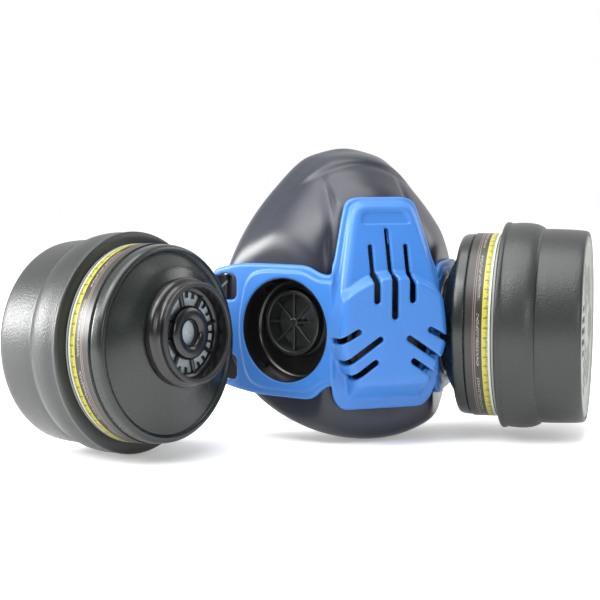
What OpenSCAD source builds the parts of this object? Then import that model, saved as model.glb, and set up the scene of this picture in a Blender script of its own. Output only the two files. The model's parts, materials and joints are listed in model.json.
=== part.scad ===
/* [Facepiece] */
// Height of the soft cup, chin to nose
cup_h = 132; // [120:1:145]
// Half width of the cup at the face seal
cup_half_w = 59; // [56:0.5:61]
// Wall of the soft cup
cup_wall = 2.6; // [2:0.1:3.4]
// How far the seal lip turns inwards
lip_in = 11; // [8:0.5:14]

/* [Front frame] */
// Wall of the frame, wings and hood
frame_wall = 3; // [2.4:0.1:3.6]
// Half width between the two creases
crease_x = 25.5; // [25:0.5:28]
// Depth of the creases behind the hood's face
crease_y = 11.8; // [11:0.2:14]
// Angle that each wing turns back from the front
wing_turn = 56; // [52:1:60]
// Length of a wing from its crease
wing_len = 70; // [69:0.5:74]
// Height of a wing
wing_h = 60; // [56:1:66]
// Height of the port axis over the table
port_z = 50.5; // [50:0.5:56]
// Distance of the port axis from the crease
port_along = 26.2; // [26:0.2:28]
// Height of the hood's step over the table
hood_step_z = 67; // [64:1:70]
// Wall of the hood
hood_wall = 2.2; // [1.8:0.1:2.8]

/* [Ports and valves] */
// Bore that a filter's collar seats in
port_r = 23; // [21:0.5:24]
// Depth of the port's bore
port_depth = 9; // [8:0.5:12]
// Outer radius of the inhale valve seat
seat_r = 15.5; // [13:0.5:17]
// How far the valve seat lies above the port axis
seat_up = 3; // [0:0.5:4]
// Thickness of the valve flaps
flap_t = 0.8; // [0.6:0.1:1.2]
// Outer radius of the exhale valve seat
exhale_r = 15.5; // [13:0.5:16]
// Height of the exhale valve over the table
exhale_z = 46; // [44:1:50]

/* [Filters] */
// Radius of the cap's large ring
ring_r = 47.75; // [46:0.25:49]
// Width of the cap's large ring
ring_w = 20; // [16:1:22]
// Radius of the cap's outer step
step_r = 44.6; // [43.8:0.2:45.4]
// Depth of the cap's outer step
step_d = 18; // [14:1:19]
// Radius of the canister
can_r = 42; // [39:0.25:42.25]
// Visible straight length of the canister
can_straight = 13; // [8:0.5:14]
// Height of the canister's shoulder and cone
cone_h = 13; // [12:0.5:16]
// Wall of the canister
can_wall = 1.8; // [1.2:0.1:2.4]
// Length of the collar
collar_len = 8; // [7:0.5:10]
// Wall of the collar
collar_wall = 2; // [1.5:0.1:3]
// Offset of the collar from the canister's axis
collar_off = 5; // [0:0.5:5]

/* [Harness] */
// Width of the webbing
strap_w = 11; // [9:0.5:11]
// Thickness of the webbing
strap_t = 1.4; // [1:0.1:1.6]

/* [Layout] */
// Place of the taken-off filter's ring, across from the mask's middle
loose_x = -114.7; // [-125:0.1:-112]
// Place of the taken-off filter's ring, behind the hood's face
loose_y = 32.4; // [20:0.2:36]
// Turn of the taken-off filter's axis from the X axis
loose_turn = -56.5; // [-70:1:-45]
// Tilt of the taken-off filter's axis
loose_tilt = 2.5; // [0:0.5:4]

/* [Hidden] */
$fn = 96;
soft_gap = 0.3;   // soft pieces keep this far from their neighbours
run_gap = 0.05;   // radial clearance of a sliding or turning fit
eps = 0.2;        // how far a cutting body passes the face that it cuts

// Filter, along its own axis: 0 is the middle of the large ring, +Z runs to the collar
can_top = ring_w / 2 + can_straight;
cone_top = can_top + cone_h;
shoulder_r = 5;
neck_r = port_r - run_gap - 2;
bulge_h = 4;
cone_r = neck_r + collar_off + 2.5;
can_back = -ring_w / 2 - 2;
cap_back = -ring_w / 2 - step_d;
cap_bore = can_r + run_gap;
grille_t = 2.2;
gasket_t = 1.2;
bed_top = can_top;
bed_back = -7;

// Port, along its own outward axis: 0 is the wing's outer face
socket_wall = 1.8;
socket_r = port_r + socket_wall;
socket_floor = 3;
socket_top = -frame_wall;
socket_back = socket_top - port_depth - socket_floor;
cup_face = socket_top - soft_gap;
nut_h = 3;
nut_r = socket_r + 2;
nut_top = -frame_wall - soft_gap - cup_wall - soft_gap;
peg_r = 2;
flap_travel = 1.5;
wing_z = port_z - 0.5;
port_x = crease_x + port_along * cos(wing_turn);
port_y = crease_y + port_along * sin(wing_turn);
filter_out = cone_top + soft_gap;

// Panel of the frame, and the hood over the exhale valve
window_w = 11;
window_s = wing_len - 5 - window_w;
window_up = 18.5;
window_rim = 0.5;
panel_back = crease_y + frame_wall;
panel_top = 110;
panel_bottom = 16;
panel_lean_z = 79;
panel_low_z = 27;
hood_bottom = 29.5;
hood_top = 107;
hood_step_y = 3.5;
hood_lean = 10.5;  // how far the hood's upper face leans back
exhale_flange = 2.4;
exhale_face = frame_wall - 1.4;

// Places and box of the whole object, used to set the origin
out_x = sin(wing_turn);
out_y = -cos(wing_turn);
fit_x = port_x + filter_out * out_x + collar_off * cos(wing_turn);
fit_y = port_y + filter_out * out_y + collar_off * sin(wing_turn);
loose_z = ring_r * cos(loose_tilt) + ring_w / 2 * sin(loose_tilt);
loose_ax = cos(loose_turn) * cos(loose_tilt);
cradle_y = 112;
cradle_d = 30;
clasp_y = 87;
harness_x = 14;   // the harness lies this far to the right behind the mask
x_high = fit_x - cap_back * out_x + step_r * sqrt(1 - out_x * out_x);
x_low = loose_x + cap_back * loose_ax - step_r * sqrt(1 - loose_ax * loose_ax);
y_low = fit_y - cap_back * out_y - step_r * sqrt(1 - out_y * out_y);
y_high = cradle_y + cradle_d / 2;
mid_x = (x_high + x_low) / 2;
mid_y = (y_high + y_low) / 2;

// Rings of the cup, front to back:
// [top y, top z, bottom y, bottom z, half width, share of width moved down, cheeks set back]
CUP_RINGS = [
    [21, 104, 17.5, 20, 22, 0.12, 0],
    [27, 112, 17, 9, 35, 0.16, 0],
    [36, 119, 20, 2.5, 45.5, 0.22, 0],
    [47, cup_h - 5, 29, 0, cup_half_w - 6, 0.26, 1],
    [57, cup_h - 1.5, 39, 0.5, cup_half_w - 2, 0.27, 3],
    [64, cup_h, 49, 3, cup_half_w, 0.27, 5],
    [69, cup_h - 2, 56, 7, cup_half_w - 1.5, 0.27, 6]
];
CUP_SIDES = 48;

// Webbing routes on the right side: [x, y, z, share of turn from upright to flat]
UPPER_ROUTE = [
    [62, 77.5, 67, 0.05], [57, 84, 62, 0.15], [51, 91, 50, 0.3], [45, 98, 35, 0.5],
    [38, 103, 22, 0.75], [31, 107.5, 11, 0.95], [24, 111, 4.5, 1], [16.6, cradle_y, 3.4, 1]
];
STRAP_STEPS = 4;
LOWER_ROUTE = [
    [61.5, 78.5, 31, 0], [55, 86, 29, 0.1], [46, 90.5, 24, 0.3], [38, 92, 16, 0.55],
    [31, 91, 8, 0.85], [24, 89, 3.2, 1], [12.3, clasp_y, 1.9, 1]
];

// ---------------------------------------------------------------- places

module at_mask() { translate([-mid_x, -mid_y, 0]) children(); }

module on_side(side) { at_mask() mirror([side < 0 ? 1 : 0, 0, 0]) children(); }

// Local +Z points out of the port, local -X points up
module at_port(side) {
    on_side(side) translate([port_x, port_y, port_z])
        rotate([0, 0, wing_turn - 90]) rotate([0, 90, 0]) children();
}

// Local +Z points forward out of the exhale valve
module at_exhale() { at_mask() translate([0, panel_back, exhale_z]) rotate([90, 0, 0]) children(); }

// Local +Z points to the collar, and the collar is off centre towards local -X
module at_fitted() {
    at_mask() translate([fit_x, fit_y, port_z])
        rotate([0, 0, wing_turn + 90]) rotate([0, 90, 0]) rotate([0, 0, -90]) children();
}

module at_loose() {
    at_mask() translate([loose_x, loose_y, loose_z])
        rotate([0, 0, loose_turn]) rotate([0, 90 - loose_tilt, 0]) children();
}

// ---------------------------------------------------------------- shared shapes

module tube(r_out, r_in, z_low, z_high) {
    translate([0, 0, z_low]) difference() {
        cylinder(r = r_out, h = z_high - z_low);
        translate([0, 0, -eps]) cylinder(r = r_in, h = z_high - z_low + 2 * eps);
    }
}

module spokes(count, length, width, z_low, z_high) {
    for (i = [0 : count - 1]) rotate([0, 0, i * 360 / count])
        translate([0, -width / 2, z_low]) cube([length, width, z_high - z_low]);
}

// Point of a cup ring at angle a, measured from the bottom
function ring_point(r, a, wall) =
    let (s = (1 - cos(a)) / 2,
         y_mid = r[2] + (r[0] - r[2]) * s,
         z_mid = (r[3] + wall) + (r[1] - r[3] - 2 * wall) * s)
    [(r[4] - wall) * sin(a) * (1 + r[5] * cos(a)), y_mid + r[6] * sin(a) * sin(a), z_mid];

// Closed skin through rings of points, with a fan over each end
module skin(rings) {
    n = len(rings[0]);
    m = len(rings);
    flat = [for (r = rings) each r];
    first = len(flat);
    middle = function (r) [for (k = [0 : 2]) [for (p = r) p[k]] * [for (p = r) 1] / n];
    sides = [for (j = [0 : m - 2], i = [0 : n - 1]) let (k = (i + 1) % n)
        each [[j * n + i, j * n + k, (j + 1) * n + i], [j * n + k, (j + 1) * n + k, (j + 1) * n + i]]];
    ends = [for (i = [0 : n - 1]) let (k = (i + 1) % n)
        each [[first, k, i], [first + 1, (m - 1) * n + i, (m - 1) * n + k]]];
    polyhedron(concat(flat, [middle(rings[0]), middle(rings[m - 1])]), concat(sides, ends));
}

function cup_ring(r, wall) = [for (i = [0 : CUP_SIDES - 1]) ring_point(r, i * 360 / CUP_SIDES, wall)];

function moved_back(ring, by) = [for (p = ring) [p[0], p[1] + by, p[2]]];

// Unit vector
function unit(v) = v / norm(v);

// Rings of a flat strap along points [x, y, z, turn]: upright at turn 0, flat at turn 1
function strap_ring(pts, i) =
    let (a = pts[max(i - 1, 0)], b = pts[min(i + 1, len(pts) - 1)], p = pts[i],
         along = unit([b[0] - a[0], b[1] - a[1], b[2] - a[2]]),
         level = unit([-along[1], along[0], 0]),
         wish = [0, 0, 1] * cos(90 * p[3]) + level * sin(90 * p[3]),
         side = unit(wish - along * (wish * along)),
         thin = cross(along, side))
    [for (c = [[-1, -1], [1, -1], [1, 1], [-1, 1]])
        [p[0], p[1], p[2]] + side * c[0] * strap_w / 2 + thin * c[1] * strap_t / 2];

// A smooth path through points [x, y, z, turn], with a few steps from each to the next
function strap_path(pts) =
    let (n = len(pts), spots = [for (p = pts) [p[0], p[1], p[2]]],
         ways = [for (i = [0 : n - 1]) unit(spots[min(i + 1, n - 1)] - spots[max(i - 1, 0)])])
    [for (i = [0 : n - 2], k = [0 : STRAP_STEPS - 1])
        let (t = k / STRAP_STEPS, gap = norm(spots[i + 1] - spots[i]),
             q = spots[i] * (2 * t * t * t - 3 * t * t + 1) + ways[i] * gap * (t * t * t - 2 * t * t + t)
                 + spots[i + 1] * (3 * t * t - 2 * t * t * t) + ways[i + 1] * gap * (t * t * t - t * t))
        [q[0], q[1], q[2], pts[i][3] + (pts[i + 1][3] - pts[i][3]) * t], pts[n - 1]];

module strap(pts) {
    path = strap_path(pts);
    skin([for (i = [0 : len(path) - 1]) strap_ring(path, i)]);
}

// Point of the wing's plan: s along the wing from its crease, d outwards from its outer face
function wing_at(s, d) = [crease_x + s * cos(wing_turn) + d * out_x, crease_y + s * sin(wing_turn) + d * out_y];

// ---------------------------------------------------------------- cup

module cup_solid(wall) {
    back = CUP_RINGS[len(CUP_RINGS) - 1];
    rings = [for (r = CUP_RINGS) cup_ring(r, wall)];
    front = wall > 0 ? [moved_back(rings[0], wall)] : [rings[0]];
    walls = [for (i = [1 : len(rings) - (wall > 0 ? 2 : 1)]) rings[i]];
    mouth = cup_ring(back, wall + lip_in);
    skin(wall > 0 ? concat(front, walls, [moved_back(mouth, -2), moved_back(mouth, 12)])
                  : concat(front, walls));
}

// Space inside both wing planes, set back from the wings' outer faces
module between_wings(back) {
    far = 160;
    inner = wing_at(-20, -back);
    outer = wing_at(far, -back);
    linear_extrude(cup_h * 2, center = true)
        polygon([inner, outer, [-outer[0], outer[1]], [-inner[0], inner[1]]]);
}

module facepiece_cup() {
    color("#23262e") difference() {
        at_mask() difference() {
            intersection() { cup_solid(0); between_wings(-cup_face); }
            intersection() { cup_solid(cup_wall); between_wings(-cup_face + cup_wall); }
        }
        for (side = [-1, 1]) at_port(side) {
            translate([0, 0, socket_back - 8]) cylinder(r = socket_r + soft_gap, h = 12 - socket_back);
            translate([0, 0, nut_top - 12]) cylinder(r = nut_r + soft_gap, h = 12 + soft_gap);
        }
        at_exhale() translate([0, 0, -12]) cylinder(r = exhale_r + soft_gap, h = 20);
    }
}

// ---------------------------------------------------------------- front frame

// Outline of the centre panel, right half first
function panel_half() = [
    [18, panel_bottom], [21, panel_bottom + 3.5], [26.2, 27], [crease_x, 33], [crease_x, 76],
    [24, panel_lean_z], [21.7, 87], [18.3, panel_top - 8], [14.5, panel_top - 2], [10.7, panel_top]
];

// Outline of the hood, inset by a wall
function hood_half(inset) = [
    [16.9 - inset, hood_bottom + inset], [20.8 - inset, 34 + inset / 2], [25 - inset, 42],
    [26.5 - inset, 47], [26.5 - inset, 51], [25.9 - inset, 57], [23.5 - inset, hood_step_z],
    [14.5 - inset, hood_top - 5 - inset], [11.5 - inset, hood_top - 1 - inset], [9 - inset, hood_top - inset]
];

function both_halves(half) =
    concat(half, [for (i = [len(half) - 1 : -1 : 0]) [-half[i][0], half[i][1]]]);

// Extrudes an outline drawn in X and Z from front to back
module facing(points, y_low, y_high) {
    translate([0, y_high, 0]) rotate([90, 0, 0]) linear_extrude(y_high - y_low) polygon(points);
}

// Extrudes a profile drawn in Y and Z from side to side
module sideways(points, half) {
    rotate([90, 0, 90]) linear_extrude(2 * half, center = true) polygon(points);
}

module panel() {
    intersection() {
        facing(both_halves(panel_half()), -20, 60);
        sideways([
            [crease_y + 2, panel_bottom - 1], [crease_y, panel_low_z], [crease_y, panel_lean_z],
            [crease_y + 6.6, panel_top + 1], [crease_y + 6.6 + frame_wall, panel_top + 1],
            [panel_back, panel_lean_z], [panel_back, panel_low_z], [panel_back + 2, panel_bottom - 1]
        ], 40);
    }
}

// The hood's side profile: a vertical lower face, a step, and an upper face that leans back
module hood_solid(inset) {
    back = inset > 0 ? panel_back + eps : crease_y + frame_wall / 2;
    intersection() {
        facing(both_halves(hood_half(inset)), -20, 60);
        sideways([
            [inset, hood_bottom + 1 + inset], [inset, hood_step_z - inset],
            [hood_step_y + inset, hood_step_z + 1], [hood_step_y + hood_lean + inset, hood_top],
            [back + 8, hood_top + 2], [back, hood_step_z], [back, 23 + 2 * inset], [10, 23 + 2 * inset]
        ], 40);
    }
}

module slot_line(x0, z0, x1, z1, width) {
    turn = atan2(z1 - z0, x1 - x0);
    translate([x0, 0, z0]) rotate([0, -turn, 0])
        translate([0, -10, -width / 2]) cube([norm([x1 - x0, z1 - z0]), 22, width]);
}

module hood_slots() {
    intersection() {
        union() {
            slot_line(0, 58, 0, 96, 2.6);
            for (side = [-1, 1]) mirror([side < 0 ? 1 : 0, 0, 0]) {
                slot_line(8.4, 65, 8.4, 89, 2.6);
                slot_line(17.1, 52, 29, 46.3, 2.7);
                slot_line(6.9, 48.5, 27, 36.2, 2.7);
                slot_line(9, 38.4, 22, 30.6, 2.7);
            }
        }
        sideways([[-10, 20], [-10, 110], [20, 110], [crease_y - 1, 80], [crease_y - 1, 20]], 40);
    }
}

// Outline of a wing in its own plane: along the wing, then height
function wing_outline() = let (low = wing_z - wing_h / 2, high = wing_z + wing_h / 2) [
    [-1, low + 8], [4, low + 5], [12, low], [42, low], [window_s, low + 1.5], [wing_len, low + 4.5],
    [wing_len, high - 4], [window_s, high - 0.5], [42, high], [14, high], [6, high - 3], [-1, high - 4]
];

module wing() {
    translate([crease_x, crease_y, 0]) rotate([0, 0, wing_turn]) rotate([90, 0, 0]) difference() {
        translate([0, 0, -frame_wall]) linear_extrude(frame_wall) polygon(wing_outline());
        translate([port_along, port_z, -frame_wall - eps])
            cylinder(r = port_r + 0.4, h = frame_wall + 2 * eps);
        for (side = [-1, 1])
            translate([window_s, wing_z + side * window_up - strap_w / 2 - window_rim, -frame_wall - eps])
                cube([window_w, strap_w + 2 * window_rim, frame_wall + 2 * eps]);
    }
}

module front_frame() {
    color("#3d84d2") difference() {
        at_mask() difference() {
            union() {
                panel();
                hood_solid(0);
                for (side = [-1, 1]) mirror([side < 0 ? 1 : 0, 0, 0]) wing();
            }
            hood_solid(hood_wall);
            hood_slots();
        }
        at_exhale() translate([0, 0, -eps]) cylinder(r = exhale_r - 1, h = frame_wall + 1);
        for (side = [-1, 1]) at_port(side) translate([0, 0, socket_top - 30])
            cylinder(r = socket_r + 0.01, h = 30);
    }
}

// ---------------------------------------------------------------- ports and valves

module port_socket(side) {
    color("#15171c") at_port(side) difference() {
        translate([0, 0, socket_back]) cylinder(r = socket_r, h = socket_top - socket_back);
        translate([0, 0, socket_back + socket_floor]) cylinder(r = port_r, h = port_depth + eps);
        translate([-seat_up, 0, socket_back - eps]) cylinder(r = seat_r, h = socket_floor + 2 * eps);
    }
}

module port_nut(side) {
    color("#2a2d33") at_port(side) tube(nut_r, socket_r + run_gap, nut_top - nut_h, nut_top);
}

// Spoked seat let into the socket's floor, with the flap's peg behind it
module inhale_seat(side) {
    head = socket_back - flap_t - flap_travel - 1;
    color("#4a4d52") at_port(side) translate([-seat_up, 0, 0]) {
        tube(seat_r - run_gap, seat_r - 2.4, socket_back, socket_back + socket_floor);
        spokes(8, seat_r - 1.5, 1.1, socket_back + 0.8, socket_back + socket_floor - 0.6);
        translate([0, 0, socket_back + 0.5]) cylinder(r = 3, h = socket_floor - 0.8);
        translate([0, 0, head]) cylinder(r = peg_r, h = socket_back + 1 - head);
        translate([0, 0, head - 0.6]) cylinder(r = peg_r + 1, h = 1);
    }
}

module inhale_flap(side) {
    color("#8a8d90") at_port(side) translate([-seat_up, 0, 0])
        tube(seat_r - 0.8, peg_r + run_gap, socket_back - 0.1 - flap_t, socket_back - 0.1);
}

// Spoked seat that is clamped between the panel and the cup, with the flap's peg in front
module exhale_seat() {
    face = exhale_face;
    head = face + 0.1 + flap_t + flap_travel + 0.4;
    color("#3a3d42") at_exhale() {
        tube(exhale_r, exhale_r - 2.4, -exhale_flange - 3, 0);
        tube(exhale_r + 1.5, exhale_r - 2.4, -exhale_flange, 0);
        tube(exhale_r - 1.1, exhale_r - 2.4, -1, face);
        spokes(6, exhale_r - 1.5, 1.4, -2, face - 0.6);
        translate([0, 0, -2.2]) cylinder(r = 3.4, h = face + 2);
        translate([0, 0, -1]) cylinder(r = peg_r, h = head + 1.4);
        translate([0, 0, head]) cylinder(r = peg_r + 1, h = 1);
    }
}

module exhale_flap() {
    color("#8a8d90") at_exhale()
        tube(exhale_r - 1.3, peg_r + run_gap, exhale_face + 0.1, exhale_face + 0.1 + flap_t);
}

// ---------------------------------------------------------------- harness

// The webbing comes through a window and folds round the bar at the wing's end
function fold_route(z) =
    let (bar = window_s + window_w, off = strap_t / 2 + 0.6)
    [for (p = [[bar - 4.5, -frame_wall + 0.8], [bar - 1.8, -frame_wall / 2], [bar - 1, 0.3],
               [bar + 0.6, off], [wing_len - 0.4, off], [wing_len + off + 0.1, 0.1],
               [wing_len + off + 0.1, -frame_wall - 0.4]])
        let (q = wing_at(p[0], p[1])) [q[0], q[1], z, 0]];

module webbing(side, up, route) {
    laid = [for (p = route) [p[0] + side * harness_x * p[3], p[1], p[2], p[3]]];
    color("#16171a") on_side(side) strap(concat(fold_route(wing_z + up * window_up), laid));
}

module upper_strap(side) { webbing(side, 1, UPPER_ROUTE); }

module lower_strap(side) { webbing(side, -1, LOWER_ROUTE); }

module head_cradle() {
    t = 2.6;
    half = 16;
    color("#1d1f24") at_mask() translate([harness_x, cradle_y, 0]) difference() {
        union() {
            translate([-half, -cradle_d / 2, 0]) cube([2 * half, cradle_d, t]);
            for (side = [-1, 1]) translate([side * (half - 0.5), -strap_w / 2 - 3, 0])
                mirror([side < 0 ? 1 : 0, 0, 0]) cube([12, strap_w + 6, t]);
        }
        for (x = [-8, 8]) translate([x, 0, -eps]) cylinder(r = 5, h = t + 2 * eps);
    }
}

module neck_clasp_hook() {
    color("#26282d") at_mask() translate([harness_x, clasp_y, 0.4]) {
        translate([1, -8, 0]) cube([10.2, 16, 3]);
        translate([-4, -4, 2]) cube([6, 8, 1]);
        translate([-4, -4, 0.9]) cube([1.2, 8, 1.6]);
    }
}

module neck_clasp_bar() {
    color("#26282d") at_mask() translate([harness_x, clasp_y, 0.4]) difference() {
        translate([-11.2, -8, 0]) cube([11.7, 16, 3]);
        translate([-5, -5, -eps]) cube([4.6, 10, 4]);
        translate([-6, -5, 1.7]) cube([8, 10, 3]);
    }
}

// ---------------------------------------------------------------- filter pieces

module canister() {
    bore = cone_r - can_wall - 1;
    color("#3c4145") difference() {
        union() {
            rotate_extrude() polygon(concat(
                [[0, can_back], [can_r, can_back], [can_r, can_top]],
                [for (a = [0 : 15 : 60]) [can_r - shoulder_r + shoulder_r * cos(a), can_top + shoulder_r * sin(a)]],
                [[cone_r, cone_top], [0, cone_top]]));
            translate([-collar_off, 0, cone_top - eps]) {
                cylinder(r = port_r - run_gap, h = bulge_h + eps);
                cylinder(r = neck_r, h = collar_len + eps);
            }
        }
        rotate_extrude() polygon([[0, can_back - eps], [can_r - can_wall, can_back - eps],
            [can_r - can_wall, can_top + 0.4], [bore, cone_top - 3], [0, cone_top - 3]]);
        translate([-collar_off, 0, cone_top - 6]) cylinder(r = neck_r - collar_wall, h = 30);
    }
}

module collar_grille() {
    low = cone_top + 1.5;
    color("#1b1c1f") translate([-collar_off, 0, 0]) {
        tube(neck_r - collar_wall - run_gap, neck_r - collar_wall - 2, low, low + 2);
        tube(8.4, 5, low, low + 3);
        for (i = [0 : 11]) rotate([0, 0, i * 30 + 15])
            translate([7, -0.6, low]) cube([neck_r - collar_wall - 8, 1.2, 1.6]);
    }
}

module gasket() {
    color("#101113") translate([-collar_off, 0, 0])
        tube(neck_r, neck_r - collar_wall, cone_top + collar_len, cone_top + collar_len + gasket_t);
}

module media_disc() {
    color("#c3cdd2") translate([-collar_off, 0, cone_top - 0.9]) cylinder(r = neck_r - collar_wall - 0.1, h = 2.2);
}

module carbon_bed() {
    color("#222325") translate([0, 0, bed_back])
        cylinder(r = can_r - can_wall - 0.1, h = bed_top - bed_back);
}

module screen() {
    color("#8d9297") tube(can_r - can_wall - 0.1, 2, bed_back - 1.2, bed_back - 0.1);
}

module label_band() {
    color("#b3b184") tube(can_r + 0.4, can_r, ring_w / 2 + 0.3, can_top - 0.3);
}

module cap() {
    soft = 4;
    color("#2c302f") rotate_extrude() polygon(concat(
        [for (a = [0 : 15 : 90]) [ring_r - soft + soft * sin(a), ring_w / 2 - soft + soft * cos(a)]],
        [for (a = [0 : 15 : 90]) [ring_r - soft + soft * cos(a), -ring_w / 2 + soft - soft * sin(a)]],
        [[step_r, -ring_w / 2], [step_r, cap_back + 1.5], [step_r - 1.5, cap_back],
         [cap_bore, cap_back], [cap_bore, ring_w / 2]]));
}

// Sectors of parallel slots that turn from one sector to the next
module cap_grille() {
    sectors = 6;
    color("#9a9f9b") difference() {
        translate([0, 0, cap_back + 0.2]) cylinder(r = can_r, h = grille_t);
        for (i = [0 : sectors - 1]) rotate([0, 0, i * 360 / sectors]) translate([21, 0, cap_back]) {
            reach = [11, 15, 18, 15, 11];
            for (k = [0 : 4]) rotate([0, 0, i % 2 == 0 ? 0 : 90])
                translate([(k - 2) * 5 - 1.2, -reach[k] / 2, 0]) cube([2.4, reach[k], grille_t + 1]);
        }
    }
}

module particulate_pad() {
    color("#dadcd8") translate([0, 0, cap_back + grille_t + 0.5])
        cylinder(r = can_r - 0.3, h = can_back - soft_gap - cap_back - grille_t - 0.5);
}

// ---------------------------------------------------------------- the nodes

facepiece_cup();
front_frame();
port_socket(-1);  // port_socket_left
port_socket(1);  // port_socket_right
port_nut(-1);  // port_nut_left
port_nut(1);  // port_nut_right
inhale_seat(-1);  // inhale_seat_left
inhale_seat(1);  // inhale_seat_right
inhale_flap(-1);  // inhale_flap_left
inhale_flap(1);  // inhale_flap_right
exhale_seat();
exhale_flap();
upper_strap(-1);  // upper_strap_left
upper_strap(1);  // upper_strap_right
lower_strap(-1);  // lower_strap_left
lower_strap(1);  // lower_strap_right
head_cradle();
neck_clasp_hook();
neck_clasp_bar();
at_fitted() canister();  // fitted_canister
at_fitted() collar_grille();  // fitted_collar_grille
at_fitted() gasket();  // fitted_gasket
at_fitted() media_disc();  // fitted_media_disc
at_fitted() carbon_bed();  // fitted_carbon_bed
at_fitted() screen();  // fitted_screen
at_fitted() label_band();  // fitted_label_band
at_fitted() cap();  // fitted_cap
at_fitted() cap_grille();  // fitted_cap_grille
at_fitted() particulate_pad();  // fitted_particulate_pad
at_loose() canister();  // loose_canister
at_loose() collar_grille();  // loose_collar_grille
at_loose() gasket();  // loose_gasket
at_loose() media_disc();  // loose_media_disc
at_loose() carbon_bed();  // loose_carbon_bed
at_loose() screen();  // loose_screen
at_loose() label_band();  // loose_label_band
at_loose() cap();  // loose_cap
at_loose() cap_grille();  // loose_cap_grille
at_loose() particulate_pad();  // loose_particulate_pad
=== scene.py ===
import json
import logging
import math
from dataclasses import dataclass, field
from enum import Enum
from typing import Callable, Sequence

import bmesh
import bpy
import numpy as np
from mathutils import Matrix, Vector


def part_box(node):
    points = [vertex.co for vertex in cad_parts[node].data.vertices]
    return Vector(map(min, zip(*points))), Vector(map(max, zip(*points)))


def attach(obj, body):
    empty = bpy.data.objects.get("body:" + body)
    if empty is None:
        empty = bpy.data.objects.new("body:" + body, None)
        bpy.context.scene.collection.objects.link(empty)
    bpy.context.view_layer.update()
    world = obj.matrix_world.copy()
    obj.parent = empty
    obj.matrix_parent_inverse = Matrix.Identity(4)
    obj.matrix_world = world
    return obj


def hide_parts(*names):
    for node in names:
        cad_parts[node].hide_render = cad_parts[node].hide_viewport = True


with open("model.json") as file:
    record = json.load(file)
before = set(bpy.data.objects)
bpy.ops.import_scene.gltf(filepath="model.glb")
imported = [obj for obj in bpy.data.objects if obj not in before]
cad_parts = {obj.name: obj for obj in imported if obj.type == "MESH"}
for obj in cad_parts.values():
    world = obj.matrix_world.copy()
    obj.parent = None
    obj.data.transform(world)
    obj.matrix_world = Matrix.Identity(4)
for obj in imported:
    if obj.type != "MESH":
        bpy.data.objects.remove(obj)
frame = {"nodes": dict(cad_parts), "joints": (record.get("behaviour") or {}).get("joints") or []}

LOG = logging.getLogger("respirator")
MM = 0.001
Distance = Callable[[np.ndarray, np.ndarray, np.ndarray], np.ndarray]
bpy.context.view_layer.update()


# ---------------------------------------------------------------- shader maths


class Value:
    """A shader socket that takes part in Python expressions."""

    def __init__(self, graph: "Graph", node: bpy.types.Node, out: int | str = 0) -> None:
        """Wraps one output of a node."""
        self.graph = graph
        self.node = node
        self.socket = node.outputs[out] if node.outputs else None

    def _math(self, operation: str, *operands: "Value | float") -> "Value":
        """Adds a Math node on the operands."""
        inputs = dict(enumerate(operands))
        return self.graph.node("ShaderNodeMath", {"operation": operation}, inputs)

    def __add__(self, other: "Value | float") -> "Value":
        """Sum."""
        return self._math("ADD", self, other)

    __radd__ = __add__

    def __mul__(self, other: "Value | float") -> "Value":
        """Product."""
        return self._math("MULTIPLY", self, other)

    __rmul__ = __mul__

    def __sub__(self, other: "Value | float") -> "Value":
        """Difference."""
        return self._math("SUBTRACT", self, other)

    def __rsub__(self, other: "Value | float") -> "Value":
        """Difference with the operands turned round."""
        return self._math("SUBTRACT", other, self)

    def __gt__(self, other: "Value | float") -> "Value":
        """1 where this is the larger, or else 0."""
        return self._math("GREATER_THAN", self, other)

    def __lt__(self, other: "Value | float") -> "Value":
        """1 where this is the smaller, or else 0."""
        return self._math("LESS_THAN", self, other)

    def wave(self) -> "Value":
        """Sine."""
        return self._math("SINE", self)

    def size(self) -> "Value":
        """Absolute value."""
        return self._math("ABSOLUTE", self)

    def part(self) -> "Value":
        """Fraction that is left after whole steps."""
        return self._math("FRACT", self)

    def ramp(self, low: float, high: float) -> "Value":
        """Smooth rise from 0 at low to 1 at high."""
        inputs = {"Value": self, "From Min": low, "From Max": high}
        return self.graph.node("ShaderNodeMapRange", {"interpolation_type": "SMOOTHSTEP"}, inputs)


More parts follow.
